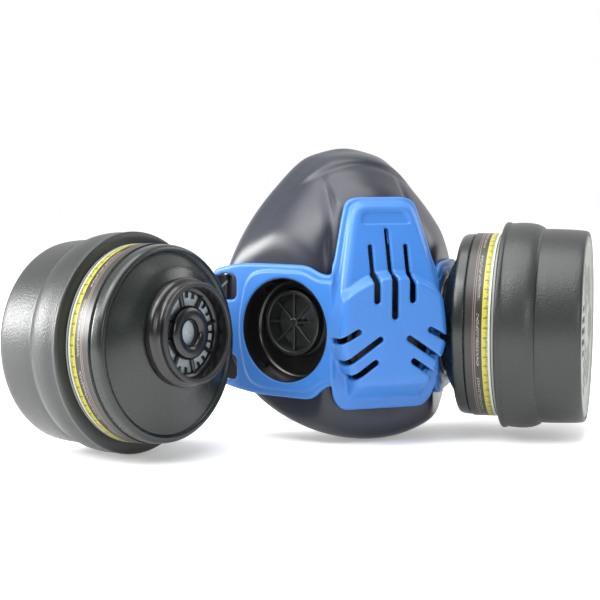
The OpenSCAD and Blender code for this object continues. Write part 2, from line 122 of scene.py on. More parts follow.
@dataclass
class Graph:
    """The node tree of one material."""

    tree: bpy.types.NodeTree

    def node(self, kind: str, settings: dict | None = None, inputs: dict | None = None,
             out: int | str = 0) -> Value:
        """Adds a node.

        Args:
            kind: the node's type.
            settings: properties, set first.
            inputs: values or links, by socket name or number.
            out: the output that is wrapped.

        Returns:
            The wrapped output.
        """
        node = self.tree.nodes.new(kind)
        for key, value in (settings or {}).items():
            setattr(node, key, value)
        for key, value in (inputs or {}).items():
            if isinstance(value, Value):
                self.tree.links.new(value.socket, node.inputs[key])
            else:
                node.inputs[key].default_value = value
        return Value(self, node, out)

    def place(self) -> Value:
        """Object coordinates."""
        return self.node("ShaderNodeTexCoord", out="Object")

    def noise(self, size: float, detail: float = 3.0, rough: float = 0.5,
              stretch: tuple[float, float, float] | None = None) -> Value:
        """Noise on object coordinates.

        Args:
            size: how far across its blotches are, in millimetres.
            detail: how many finer layers it has.
            rough: how strong the finer layers are.
            stretch: how many times closer it lies along each axis.

        Returns:
            The noise, from 0 to 1.
        """
        at = self.place()
        if stretch:
            at = self.node("ShaderNodeMapping", None, {"Vector": at, "Scale": stretch})
        inputs = {"Vector": at, "Scale": 1.0 / (size * MM), "Detail": detail, "Roughness": rough}
        return self.node("ShaderNodeTexNoise", None, inputs)

    def mark(self, name: str) -> Value:
        """A number kept on the mesh."""
        return self.node("ShaderNodeAttribute", {"attribute_name": name}, out="Fac")

    def uv(self) -> tuple[Value, Value]:
        """Both coordinates of the piece's own UV map."""
        place = self.node("ShaderNodeUVMap", {"uv_map": "UVMap"})
        both = self.node("ShaderNodeSeparateXYZ", None, {0: place})
        return both, Value(self, both.node, 1)

    def blend(self, factor: Value | float, first: "Colour | Value", second: "Colour | Value") -> Value:
        """Mixes two colours.

        Args:
            factor: share of the second colour.
            first: the first colour.
            second: the second colour.

        Returns:
            The mixed colour.
        """
        ends = {0: factor}
        for key, value in ((6, first), (7, second)):
            ends[key] = value if isinstance(value, Value) else (*value, 1.0)
        return self.node("ShaderNodeMix", {"data_type": "RGBA"}, ends, out=2)

    def bump(self, height: Value, strength: float, depth: float) -> Value:
        """Normal of a surface with this relief, its depth in millimetres."""
        inputs = {"Height": height, "Strength": strength, "Distance": depth * MM}
        return self.node("ShaderNodeBump", None, inputs)


Colour = tuple[float, float, float]


WHITE: Colour = (1.0, 1.0, 1.0)


def tint(colour: Colour, factor: float) -> Colour:
    """A colour made lighter or darker."""
    return tuple(min(1.0, c * factor) for c in colour)


@dataclass(frozen=True)
class Finish:
    """Plain moulded surface: a fine grain, faint mottling, and convex edges painted lighter, partly as
    scuffing and partly as a painted highlight.
    """

    name: str
    colour: Colour
    roughness: float = 0.42
    grain: float = 0.4
    grain_size: float = 0.5
    mottle: float = 0.12
    # the next two: how strongly convex edges are lightened and to what colour, as scuffing and as a painted
    # highlight
    wear: float = 0.25
    rubbed: Colour | None = None
    fixed: tuple[tuple[str, float], ...] = ()
    slot: str = ""

    def look(self, graph: Graph) -> dict[str, Value]:
        """Works out what varies over the surface.

        Args:
            graph: the material's nodes.

        Returns:
            Values by the shader's socket.
        """
        cloud = graph.noise(14.0, 2.0)
        fine = graph.noise(self.grain_size, 3.0, 0.6)
        # convex edges are lightened: partly scuffing, partly a painted highlight along rims and creases
        worn_and_lit = graph.mark("edge").ramp(0.15, 0.9) * self.wear
        base = graph.blend(cloud, tint(self.colour, 1 - self.mottle), tint(self.colour, 1 + self.mottle))
        return {
            "Base Color": graph.blend(worn_and_lit, base, self.rubbed or tint(self.colour, 1.7)),
            "Roughness": fine * 0.12 + cloud * 0.1 + (self.roughness - 0.11),
            "Normal": graph.bump(fine, self.grain, 0.12),
        }

    def material(self) -> bpy.types.Material:
        """Makes the finish's material.

        Returns:
            A new material.
        """
        made = bpy.data.materials.new(f"{self.name}_look")
        made.use_nodes = True
        made.diffuse_color = (*self.colour, 1.0)
        graph = Graph(made.node_tree)
        made.node_tree.nodes.clear()
        inputs: dict = {"Base Color": (*self.colour, 1.0), "Roughness": self.roughness}
        inputs.update(dict(self.fixed))
        inputs.update(self.look(graph))
        shader = graph.node("ShaderNodeBsdfPrincipled", None, inputs)
        graph.node("ShaderNodeOutputMaterial", None, {"Surface": shader})
        return made


@dataclass(frozen=True)
class CupRubber(Finish):
    """Tinted rubber with painted light: lighter towards the rim and lip, standing for light that shines
    through the thin rubber.
    """

    # colour of the painted glow of light through the thin rim and lip
    thin: Colour = (0.075, 0.077, 0.082)

    def look(self, graph: Graph) -> dict[str, Value]:
        """Works out what varies over the surface.

        Args:
            graph: the material's nodes.

        Returns:
            Values by the shader's socket.
        """
        cloud = graph.noise(22.0, 3.0, 0.55)
        fine = graph.noise(0.7, 2.0)
        # painted light: the mesh's rim glow marks lay on the lighter colour
        bloom = graph.mark("bloom")
        base = graph.blend(cloud.ramp(0.3, 0.75) * 0.5, tint(self.colour, 0.8), tint(self.colour, 1.25))
        return {
            "Base Color": graph.blend(bloom, base, self.thin),
            "Roughness": cloud * 0.12 + fine * 0.05 + (self.roughness - 0.08),
            "Normal": graph.bump(fine * 0.3 + cloud, 0.25, 0.25),
        }


@dataclass(frozen=True)
class GrainedPlastic(Finish):
    """Spark-eroded matte plastic whose grain glints."""

    def look(self, graph: Graph) -> dict[str, Value]:
        """Works out what varies over the surface.

        Args:
            graph: the material's nodes.

        Returns:
            Values by the shader's socket.
        """
        cloud = graph.noise(18.0, 3.0)
        grit = graph.noise(0.8, 2.0, 0.7)
        pits = graph.node("ShaderNodeTexVoronoi", None,
                          {"Vector": graph.place(), "Scale": 1.0 / (self.grain_size * MM)})
        # convex edges are lightened: partly scuffing, partly a painted highlight on rims
        worn_and_lit = graph.mark("edge").ramp(0.2, 0.9) * self.wear
        base = graph.blend(cloud, tint(self.colour, 1 - self.mottle), tint(self.colour, 1 + self.mottle))
        return {
            "Base Color": graph.blend(worn_and_lit, base, self.rubbed or tint(self.colour, 2.2)),
            "Roughness": grit * 0.24 + (self.roughness - 0.12),
            "Normal": graph.bump(pits * 0.6 + grit, self.grain, 0.16),
        }


@dataclass(frozen=True)
class PrintedBand(Finish):
    """Paper band round the canister: white, speckled, yellow and clear stripes with fine marks."""

    white: Colour = (0.52, 0.54, 0.52)
    yellow: Colour = (0.42, 0.37, 0.04)
    green: Colour = (0.10, 0.14, 0.04)
    clear: Colour = (0.020, 0.019, 0.018)

    def look(self, graph: Graph) -> dict[str, Value]:
        """Works out what varies over the surface.

        Args:
            graph: the material's nodes.

        Returns:
            Values by the shader's socket.
        """
        around, up = graph.uv()
        speck = graph.noise(0.45, 1.0)
        letters = graph.node("ShaderNodeCombineXYZ", None, {0: around * 230.0, 1: up * 12.0})
        strokes = graph.node("ShaderNodeTexNoise", None, {"Vector": letters, "Scale": 2.2, "Detail": 0.0})
        stroke = strokes > 0.55
        small = (up - 0.55).size() < 0.045
        print_marks = small * stroke * ((around * 9.0).part() < 0.8)
        tape = graph.blend(print_marks * 0.55, self.clear, (0.5, 0.47, 0.4))
        rules = ((up - 0.66).size() < 0.014) + ((up - 0.73).size() < 0.01)
        tape = graph.blend(rules * 0.6, tape, (0.30, 0.20, 0.16))
        speckled = graph.blend(speck.ramp(0.42, 0.55), self.green, self.yellow)
        colour = graph.blend(up > 0.07, tint(self.white, 0.5), self.clear)
        colour = graph.blend(up > 0.11, colour, self.white)
        colour = graph.blend(up > 0.18, colour, speckled)
        colour = graph.blend(up > 0.28, colour, self.yellow)
        blots = (around * 61.0).part() < 0.16
        colour = graph.blend(blots * (up > 0.20) * (up < 0.35), colour, self.green)
        colour = graph.blend(up > 0.40, colour, tape)
        return {
            "Base Color": colour,
            "Roughness": speck * 0.1 + self.roughness,
            "Normal": graph.bump(speck + (up > 0.40) * 2.0, 0.3, 0.05),
        }


@dataclass(frozen=True)
class Webbing(Finish):
    """Woven strap: ribs across, a twill along, and a light woven-in zigzag."""

    thread: Colour = (0.20, 0.21, 0.22)
    thread_cover: float = 0.8

    def look(self, graph: Graph) -> dict[str, Value]:
        """Works out what varies over the surface.

        Args:
            graph: the material's nodes.

        Returns:
            Values by the shader's socket.
        """
        along, across = graph.uv()
        rib = (along * 4800.0).wave()
        twill = (along * 3000.0 + across * 60.0).wave()
        fuzz = graph.noise(0.3, 3.0, 0.7)
        height = rib * 0.5 + twill * 0.5 + fuzz
        zigzag = ((along * 90.0).part() - 0.5).size() * 2.0
        line = (zigzag * 0.4 + 0.3 - across).size() < 0.06
        dashes = (along * 45.0).part() < 0.62
        woven = line * dashes * self.thread_cover
        base = graph.blend(twill * 0.5 + 0.5, tint(self.colour, 0.7), tint(self.colour, 1.6))
        return {
            "Base Color": graph.blend(woven, base, self.thread),
            "Roughness": fuzz * 0.2 + 0.7,
            "Normal": graph.bump(height, 0.8, 0.2),
        }


@dataclass(frozen=True)
class Fibres(Finish):
    """Felted filter media: long crossing fibres."""

    def look(self, graph: Graph) -> dict[str, Value]:
        """Works out what varies over the surface.

        Args:
            graph: the material's nodes.

        Returns:
            Values by the shader's socket.
        """
        first = graph.noise(1.2, 4.0, 0.65, (1.0, 5.0, 1.0))
        second = graph.noise(1.2, 4.0, 0.65, (5.0, 1.0, 3.0))
        web = first * second * 2.0
        return {
            "Base Color": graph.blend(web.ramp(0.2, 0.8), tint(self.colour, 0.55), tint(self.colour, 1.2)),
            "Roughness": web * 0.1 + 0.85,
            "Normal": graph.bump(web, 0.9, 0.4),
        }


@dataclass(frozen=True)
class Granules(Finish):
    """Packed grains of carbon."""

    def look(self, graph: Graph) -> dict[str, Value]:
        """Works out what varies over the surface.

        Args:
            graph: the material's nodes.

        Returns:
            Values by the shader's socket.
        """
        grains = graph.node("ShaderNodeTexVoronoi", {"feature": "F1"},
                            {"Vector": graph.place(), "Scale": 1.0 / (1.4 * MM)})
        dust = graph.noise(0.3, 2.0)
        return {
            "Base Color": graph.blend(dust, tint(self.colour, 0.6), tint(self.colour, 2.0)),
            "Roughness": dust * 0.3 + 0.45,
            "Normal": graph.bump(1.0 - grains, 1.0, 0.8),
        }


@dataclass(frozen=True)
class WireCloth(Finish):
    """Woven metal screen."""

    def look(self, graph: Graph) -> dict[str, Value]:
        """Works out what varies over the surface.

        Args:
            graph: the material's nodes.

        Returns:
            Values by the shader's socket.
        """
        parts = graph.node("ShaderNodeSeparateXYZ", None, {0: graph.place()})
        flat = Value(graph, parts.node, 1)
        upright = Value(graph, parts.node, 2)
        weave = (flat * 5200.0).wave() * (upright * 5200.0).wave()
        return {
            "Base Color": graph.blend(weave.ramp(-0.6, 0.6), tint(self.colour, 0.25), self.colour),
            "Roughness": weave * 0.1 + 0.35,
            "Normal": graph.bump(weave, 0.8, 0.2),
        }


class Stuff(Enum):
    """The finishes, by material slot."""

    CUP = CupRubber("cup_rubber", (0.011, 0.013, 0.024), 0.34, fixed=(
        ("Specular IOR Level", 0.4), ("Coat Weight", 0.08), ("Coat Roughness", 0.3)))
    # the frame's convex edges and creases are lightened strongly towards (0.20, 0.50, 0.80): a painted
    # highlight
    FRAME = Finish("frame_blue", (0.032, 0.150, 0.45), 0.36, 0.3, 0.45, 0.05, 0.7,
                   (0.20, 0.50, 0.80), (("Specular IOR Level", 0.4),))
    SOCKET = Finish("socket_black", (0.006, 0.006, 0.007), 0.22, 0.2, 0.6, 0.2, 0.15)
    SEAT = Finish("seat_grey", (0.011, 0.012, 0.012), 0.30, 0.3, 0.5, 0.15, 0.3)
    FLAP = Finish("flap_silicone", (0.035, 0.037, 0.038), 0.42, 0.2, 0.9, 0.1, 0.0)
    WEBBING = Webbing("webbing_black", (0.010, 0.010, 0.012), 0.8)
    CRADLE = Finish("cradle_black", (0.014, 0.015, 0.018), 0.6, 0.5, 0.6, 0.15, 0.2)
    CLASP = Finish("clasp_black", (0.018, 0.019, 0.022), 0.42, 0.4, 0.5, 0.15, 0.3)
    CANISTER = Finish("canister_dark", (0.009, 0.012, 0.011), 0.26, 0.2, 0.5, 0.1, 0.3)
    GASKET = Finish("gasket_black", (0.008, 0.008, 0.009), 0.45, 0.3, 0.5, 0.1, 0.1)
    MEDIA = Fibres("media_white", (0.42, 0.48, 0.52))
    # the pad is coloured near black as painted shadow in the cap's slots, in place of light media
    PAD = Fibres("pad_dark", (0.030, 0.033, 0.032), slot="media_white")
    CARBON = Granules("carbon_black", (0.015, 0.015, 0.016))
    SCREEN = WireCloth("screen_steel", (0.45, 0.47, 0.50), fixed=(("Metallic", 0.9),))
    LABEL = PrintedBand("label_printed", (0.42, 0.41, 0.22), 0.3)
    CAP = GrainedPlastic("cap_black", (0.014, 0.016, 0.015), 0.38, 0.5, 0.9, 0.12, 0.25)
    GRILLE = GrainedPlastic("grille_grey", (0.19, 0.205, 0.185), 0.5, 0.4, 0.9, 0.08, 0.2)

    @property
    def material(self) -> bpy.types.Material:
        """The finish's material, made once."""
        return bpy.data.materials.get(f"{self.value.name}_look") or self.value.material()


# ---------------------------------------------------------------- distances and outlines


def larger(a: np.ndarray, b: np.ndarray, soft: float) -> np.ndarray:
    """Larger of two distances, with the corner between them rounded."""
    near = np.maximum(soft - np.abs(a - b), 0.0) / soft
    return np.maximum(a, b) + near * near * soft * 0.25


def smaller(a: np.ndarray, b: np.ndarray, soft: float) -> np.ndarray:
    """Smaller of two distances, with the corner between them filled."""
    return -larger(-a, -b, soft)


def rise(x: np.ndarray, low: float, high: float) -> np.ndarray:
    """Smooth rise from 0 at low to 1 at high."""
    t = np.clip((x - low) / (high - low), 0.0, 1.0)
    return t * t * (3.0 - 2.0 * t)


def rounded(corners: Sequence[tuple[float, float, float]], closed: bool = True, steps: int = 6) -> np.ndarray:
    """Outline through corners (x, y, how far the rounding reaches from the corner).

    Args:
        corners: the corners in order.
        closed: whether the last corner leads back to the first.
        steps: points on each rounded corner.

    Returns:
        The outline's points.
    """
    points = np.array([c[:2] for c in corners], float)
    out: list[np.ndarray] = []
    for i, (x, y, reach) in enumerate(corners):
        here = points[i]
        if reach <= 0 or (not closed and i in (0, len(corners) - 1)):
            out.append(here)
            continue
        back, on = points[i - 1] - here, points[(i + 1) % len(corners)] - here
        start = here + back / np.linalg.norm(back) * min(reach, np.linalg.norm(back) * 0.49)
        end = here + on / np.linalg.norm(on) * min(reach, np.linalg.norm(on) * 0.49)
        for t in np.linspace(0.0, 1.0, steps):
            out.append((1 - t) ** 2 * start + 2 * t * (1 - t) * here + t * t * end)
    return np.array(out)


class Outline:
    """Signed distance to a closed outline, kept as a table that is read between its points."""

    def __init__(self, corners: Sequence[tuple[float, float, float]], pitch: float = 0.25,
                 margin: float = 6.0) -> None:
        """Fills the table.

        Args:
            corners: the outline's corners (x, y, how far the rounding reaches from the corner).
            pitch: spacing of the table.
            margin: how far the table reaches past the outline.
        """
        shape = rounded(corners)
        self.low = shape.min(0) - margin
        self.pitch = pitch
        counts = np.ceil((shape.max(0) + margin - self.low) / pitch).astype(int) + 1
        u = self.low[0] + pitch * np.arange(counts[0])[:, None]
        v = self.low[1] + pitch * np.arange(counts[1])[None, :]
        best = np.full(counts, 1e9)
        inside = np.zeros(counts, bool)
        for a, b in zip(shape, np.roll(shape, -1, axis=0)):
            step = b - a
            length = step @ step
            if length < 1e-12:
                continue
            t = np.clip(((u - a[0]) * step[0] + (v - a[1]) * step[1]) / length, 0.0, 1.0)
            best = np.minimum(best, (u - a[0] - t * step[0]) ** 2 + (v - a[1] - t * step[1]) ** 2)
            if a[1] != b[1]:
                crosses = ((a[1] > v) != (b[1] > v)) & (u < step[0] * (v - a[1]) / step[1] + a[0])
                inside ^= crosses
        self.table = (np.sqrt(best) * np.where(inside, -1.0, 1.0)).astype(np.float32)

    def __call__(self, u: np.ndarray, v: np.ndarray) -> np.ndarray:
        """Reads the table.

        Args:
            u: first coordinate of the places.
            v: second coordinate of the places.

        Returns:
            Distance to the outline, negative inside it.
        """
        fu = np.clip((u - self.low[0]) / self.pitch, 0, self.table.shape[0] - 1.001)
        fv = np.clip((v - self.low[1]) / self.pitch, 0, self.table.shape[1] - 1.001)
        iu, iv = fu.astype(np.int32), fv.astype(np.int32)
        tu, tv = (fu - iu).astype(np.float32), (fv - iv).astype(np.float32)
        low = self.table[iu, iv] * (1 - tu) + self.table[iu + 1, iv] * tu
        high = self.table[iu, iv + 1] * (1 - tu) + self.table[iu + 1, iv + 1] * tu
        return low * (1 - tv) + high * tv


def capsule(u: np.ndarray, v: np.ndarray, a: tuple[float, float], b: tuple[float, float],
            half: float) -> np.ndarray:
    """Distance to a bar with round ends.

    Args:
        u: first coordinate of the places.
        v: second coordinate of the places.
        a: middle of one end.
        b: middle of the other end.
        half: half of the bar's width.

    Returns:
        The distance, negative inside the bar.
    """
    du, dv = b[0] - a[0], b[1] - a[1]
    t = np.clip(((u - a[0]) * du + (v - a[1]) * dv) / (du * du + dv * dv), 0.0, 1.0)
    return np.sqrt((u - a[0] - t * du) ** 2 + (v - a[1] - t * dv) ** 2) - half


# ---------------------------------------------------------------- shapes


@dataclass
class Shape:
    """Points in millimetres in a local frame, their faces, and UVs for each face's corners."""

    points: np.ndarray
    faces: list[list[int]]
    uv: list[tuple[float, float]] = field(default_factory=list)
    recalculate: bool = True


def surface_net(distance: Distance, low: Sequence[float], high: Sequence[float], pitch: float) -> Shape:
    """Meshes the surface where a distance is 0.

    Args:
        distance: negative inside the solid.
        low: lowest corner of the grid.
        high: highest corner of the grid.
        pitch: spacing of the grid.

    Returns:
        Quads that lie on the surface and face outwards.
    """
    axes = [np.arange(low[k], high[k] + pitch, pitch, dtype=np.float32) for k in range(3)]
    grid = distance(axes[0][:, None, None], axes[1][None, :, None], axes[2][None, None, :]).astype(np.float32)
    inside = grid < 0
    corner = np.array([[i >> 2 & 1, i >> 1 & 1, i & 1] for i in range(8)])
    cells_shape = np.array(grid.shape) - 1
    total = sum(inside[c[0]:c[0] + cells_shape[0], c[1]:c[1] + cells_shape[1],
                       c[2]:c[2] + cells_shape[2]].astype(np.int8) for c in corner)
    active = (total > 0) & (total < 8)
    cells = np.argwhere(active)
    index = np.full(tuple(cells_shape), -1, np.int32)
    index[active] = np.arange(len(cells))
    values = np.stack([grid[tuple((cells + c).T)] for c in corner], axis=1)
    place = np.zeros((len(cells), 3))
    count = np.zeros((len(cells), 1))
    for a in range(8):
        for bit in (4, 2, 1):
            if a & bit:
                continue
            b = a | bit
            va, vb = values[:, a:a + 1], values[:, b:b + 1]
            cross = (va < 0) != (vb < 0)
            t = np.where(cross, va / np.where(cross, va - vb, 1.0), 0.0)
            place += cross * (corner[a] + t * (corner[b] - corner[a]))
            count += cross
    points = np.array([a[0] for a in axes]) + (cells + place / count) * pitch
    points = seat_on(distance, points, pitch)
    faces: list[np.ndarray] = []
    for axis in range(3):
        u, v = (axis + 1) % 3, (axis + 2) % 3
        first = [slice(1, -1)] * 3
        second = [slice(1, -1)] * 3
        first[axis], second[axis] = slice(0, -1), slice(1, None)
        a, b = inside[tuple(first)], inside[tuple(second)]
        at = np.argwhere(a != b)
        offset = np.ones(3, int)
        offset[axis] = 0
        at = at + offset
        leaves = inside[tuple(at.T)]
        ring = []
        for du, dv in ((-1, -1), (0, -1), (0, 0), (-1, 0)):
            cell = at.copy()
            cell[:, u] += du
            cell[:, v] += dv
            ring.append(index[tuple(cell.T)])
        quads = np.stack(ring, axis=1)
        faces.append(np.where(leaves[:, None], quads, quads[:, ::-1]))
    return Shape(points, np.concatenate(faces).tolist(), recalculate=False)


def seat_on(distance: Distance, points: np.ndarray, pitch: float) -> np.ndarray:
    """Moves points onto the surface along its slope.

    Args:
        distance: negative inside the solid.
        points: points near the surface.
        pitch: spacing of the grid that they come from.

    Returns:
        The moved points.
    """
    step = 0.06
    for _ in range(2):
        here = distance(*points.T)
        pairs = [(points + step * unit, points - step * unit) for unit in np.eye(3)]
        slopes = [(distance(*ahead.T) - distance(*behind.T)) / (2 * step) for ahead, behind in pairs]
        slope = np.stack(slopes, axis=1)
        steep = np.maximum((slope ** 2).sum(1), 0.2)
        move = np.clip(here / steep, -pitch * 0.6, pitch * 0.6)
        points = points - move[:, None] * slope
    return points


def lathe(profile: np.ndarray, sides: int = 128, closed: bool = False,
          drift: Sequence[float] | None = None) -> Shape:
    """Turns a profile of (radius, height) round the Z axis.

    Args:
        profile: the outline from one end to the other.
        sides: steps round the axis.
        closed: whether the outline is a ring; if not, its ends lie on the axis.
        drift: how far each ring's centre lies towards -X.

    Returns:
        The turned shape, with UVs of turn and height where the outline is a ring.
    """
    profile = np.asarray(profile, float)
    drift = np.zeros(len(profile)) if drift is None else np.asarray(drift, float)
    turn = np.linspace(0.0, 2 * math.pi, sides, endpoint=False)
    rings = profile if closed else profile[1:-1]
    shifts = drift if closed else drift[1:-1]
    x = rings[:, :1] * np.cos(turn) - shifts[:, None]
    y = rings[:, :1] * np.sin(turn)
    z = np.repeat(rings[:, 1:], sides, axis=1)
    points = np.stack([x, y, z], axis=2).reshape(-1, 3)
    faces: list[list[int]] = []
    uv: list[tuple[float, float]] = []
    low, span = profile[:, 1].min(), max(np.ptp(profile[:, 1]), 1e-6)
    height = (rings[:, 1] - low) / span
    rows = len(rings)
    for j in range(rows if closed else rows - 1):
        k = (j + 1) % rows
        for i in range(sides):
            n = (i + 1) % sides
            faces.append([j * sides + i, j * sides + n, k * sides + n, k * sides + i])
            uv += [(i / sides, height[j]), ((i + 1) / sides, height[j]),
                   ((i + 1) / sides, height[k]), (i / sides, height[k])]
    if not closed:
        poles = [[-drift[0], 0.0, profile[0, 1]], [-drift[-1], 0.0, profile[-1, 1]]]
        start = len(points)
        points = np.vstack([points, poles])
        for i in range(sides):
            n = (i + 1) % sides
            faces.append([start, n, i])
            faces.append([start + 1, (rows - 1) * sides + i, (rows - 1) * sides + n])
        uv = []
    return Shape(points, faces, uv)


def ring_lathe(corners: Sequence[tuple[float, float, float]], sides: int = 128) -> Shape:
    """Turns a closed outline with rounded corners round the Z axis."""
    return lathe(rounded(corners, steps=5), sides, True)


# ---------------------------------------------------------------- places


@dataclass(frozen=True)
class Place:
    """A local frame in millimetres, held as an origin in metres and three unit axes."""

    origin: np.ndarray
    x: np.ndarray
    y: np.ndarray
    z: np.ndarray

    @classmethod
    def facing(cls, origin: Sequence[float], z: Sequence[float], x: Sequence[float]) -> "Place":
        """Makes a place.

        Args:
            origin: its origin, in metres.
            z: direction of its Z axis.
            x: rough direction of its X axis.

        Returns:
            The place.
        """
        z = np.array(z, float) / np.linalg.norm(z)
        x = np.array(x, float)
        x = x - z * (x @ z)
        x = x / np.linalg.norm(x)
        return cls(np.array(origin, float), x, np.cross(z, x), z)

    def matrix(self) -> Matrix:
        """Turns local millimetres into row metres."""
        turn = Matrix([[*row] for row in np.stack([self.x, self.y, self.z], axis=1)]).to_4x4()
        return Matrix.Translation(Vector(self.origin)) @ turn @ Matrix.Scale(MM, 4)

    def spot(self, point: Sequence[float]) -> Vector:
        """A local point in the row frame."""
        return self.matrix() @ Vector(point)


def middle(node: str) -> np.ndarray:
    """Centre of a CAD node's box, in metres."""
    low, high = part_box(node)
    return np.array((low + high) / 2)


def joint_axis(name: str) -> np.ndarray:
    """Axis of a joint of the frame."""
    return np.array(next(j["axis"] for j in frame["joints"] if j["name"] == name), float)


# ---------------------------------------------------------------- pieces


def mark_edges(mesh: bpy.types.Mesh, reach: float = 0.45) -> None:
    """Keeps on each vertex how sharply the surface bends outwards there, from 0 to 1.

    Args:
        mesh: the mesh.
        reach: factor on the bend in each millimetre.
    """
    count = len(mesh.vertices)
    co = np.zeros(count * 3, np.float32)
    mesh.vertices.foreach_get("co", co)
    co = co.reshape(-1, 3)
    normals = np.zeros(count * 3, np.float32)
    mesh.vertices.foreach_get("normal", normals)
    normals = normals.reshape(-1, 3)
    pairs = np.zeros(len(mesh.edges) * 2, np.int32)
    mesh.edges.foreach_get("vertices", pairs)
    a, b = pairs.reshape(-1, 2).T
    step = co[a] - co[b]
    bend = ((normals[a] - normals[b]) * step).sum(1) / np.maximum((step ** 2).sum(1), 1e-12)
    total = np.zeros(count)
    share = np.zeros(count)
    for end in (a, b):
        np.add.at(total, end, bend)
        np.add.at(share, end, 1)
    edge = np.clip(total / np.maximum(share, 1) * MM * reach, 0.0, 1.0)
    mesh.attributes.new("edge", "FLOAT", "POINT").data.foreach_set("value", edge.astype(np.float32))


@dataclass
class Workshop:
    """Turns shapes into pieces of the visual model."""

    made: list[str] = field(default_factory=list)

    def mesh(self, name: str, shape: Shape, place: Place, smooth: float = 40.0) -> bpy.types.Mesh:
        """Makes a mesh at its place in the row frame.

        Args:
            name: the mesh's name.
            shape: what to make.
            place: where it lies.
            smooth: edges that bend more than these degrees stay sharp.

        Returns:
            The mesh.
        """
        mesh = bpy.data.meshes.new(name)
        mesh.from_pydata(shape.points.tolist(), [], shape.faces)
        mesh.transform(place.matrix())
        if shape.uv:
            layer = mesh.uv_layers.new(name="UVMap")
            layer.data.foreach_set("uv", np.array(shape.uv, np.float32).ravel())
        if shape.recalculate:
            self.turn_outwards(mesh)
        mesh.update()
        mesh.shade_smooth()
        mesh.set_sharp_from_angle(angle=math.radians(smooth))
        mark_edges(mesh)
        return mesh

    @staticmethod
    def turn_outwards(mesh: bpy.types.Mesh) -> None:
        """Makes every face of a closed mesh point out."""
        work = bmesh.new()
        work.from_mesh(mesh)
        bmesh.ops.recalc_face_normals(work, faces=work.faces)
        work.to_mesh(mesh)
        work.free()

    def piece(self, name: str, mesh: bpy.types.Mesh, stuff: Stuff, body: str,
              *nodes: str) -> bpy.types.Object:
        """Adds a mesh as a piece that rides on a body.

        Args:
            name: the piece's name.
            mesh: its mesh, in place.
            stuff: its finish.
            body: the CAD body that it rides on.
            nodes: the CAD nodes that it stands for.

        Returns:
            The piece.
        """
        mesh.materials.clear()
        mesh.materials.append(stuff.material)
        piece = bpy.data.objects.new(name, mesh)
        bpy.context.scene.collection.objects.link(piece)
        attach(piece, body)
        if nodes:
            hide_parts(*nodes)
        self.made.append(name)
        LOG.info("%s: %d faces on %s", name, len(mesh.polygons), body)
        return piece

    def form(self, name: str, shape: Shape, place: Place, stuff: Stuff, body: str, *nodes: str,
             smooth: float = 40.0) -> bpy.types.Object:
        """Makes a shape and adds it as a piece.

        Args:
            name: the piece's name.
            shape: what to make.
            place: where it lies.
            stuff: its finish.
            body: the CAD body that it rides on.
            nodes: the CAD nodes that it stands for.
            smooth: edges that bend more than these degrees stay sharp.

        Returns:
            The piece.
        """
        return self.piece(name, self.mesh(name, shape, place, smooth), stuff, body, *nodes)

    def dress(self, stuff: Stuff, *nodes: str) -> None:
        """Gives CAD nodes that keep their shape a finish.

        Args:
            stuff: the finish.
            nodes: the nodes' names.
        """
        for name in nodes:
            mesh = frame["nodes"][name].data
            mesh.materials.clear()
            mesh.materials.append(stuff.material)
            LOG.info("%s: dressed as %s", name, stuff.value.name)

    @staticmethod
    def settle(carrier: bpy.types.Object) -> bpy.types.Mesh:
        """Runs an object's modifiers and removes the object.

        Args:
            carrier: the object.

        Returns:
            The plain mesh.
        """
        graph = bpy.context.evaluated_depsgraph_get()
        mesh = bpy.data.meshes.new_from_object(carrier.evaluated_get(graph))
        bpy.data.objects.remove(carrier)
        return mesh


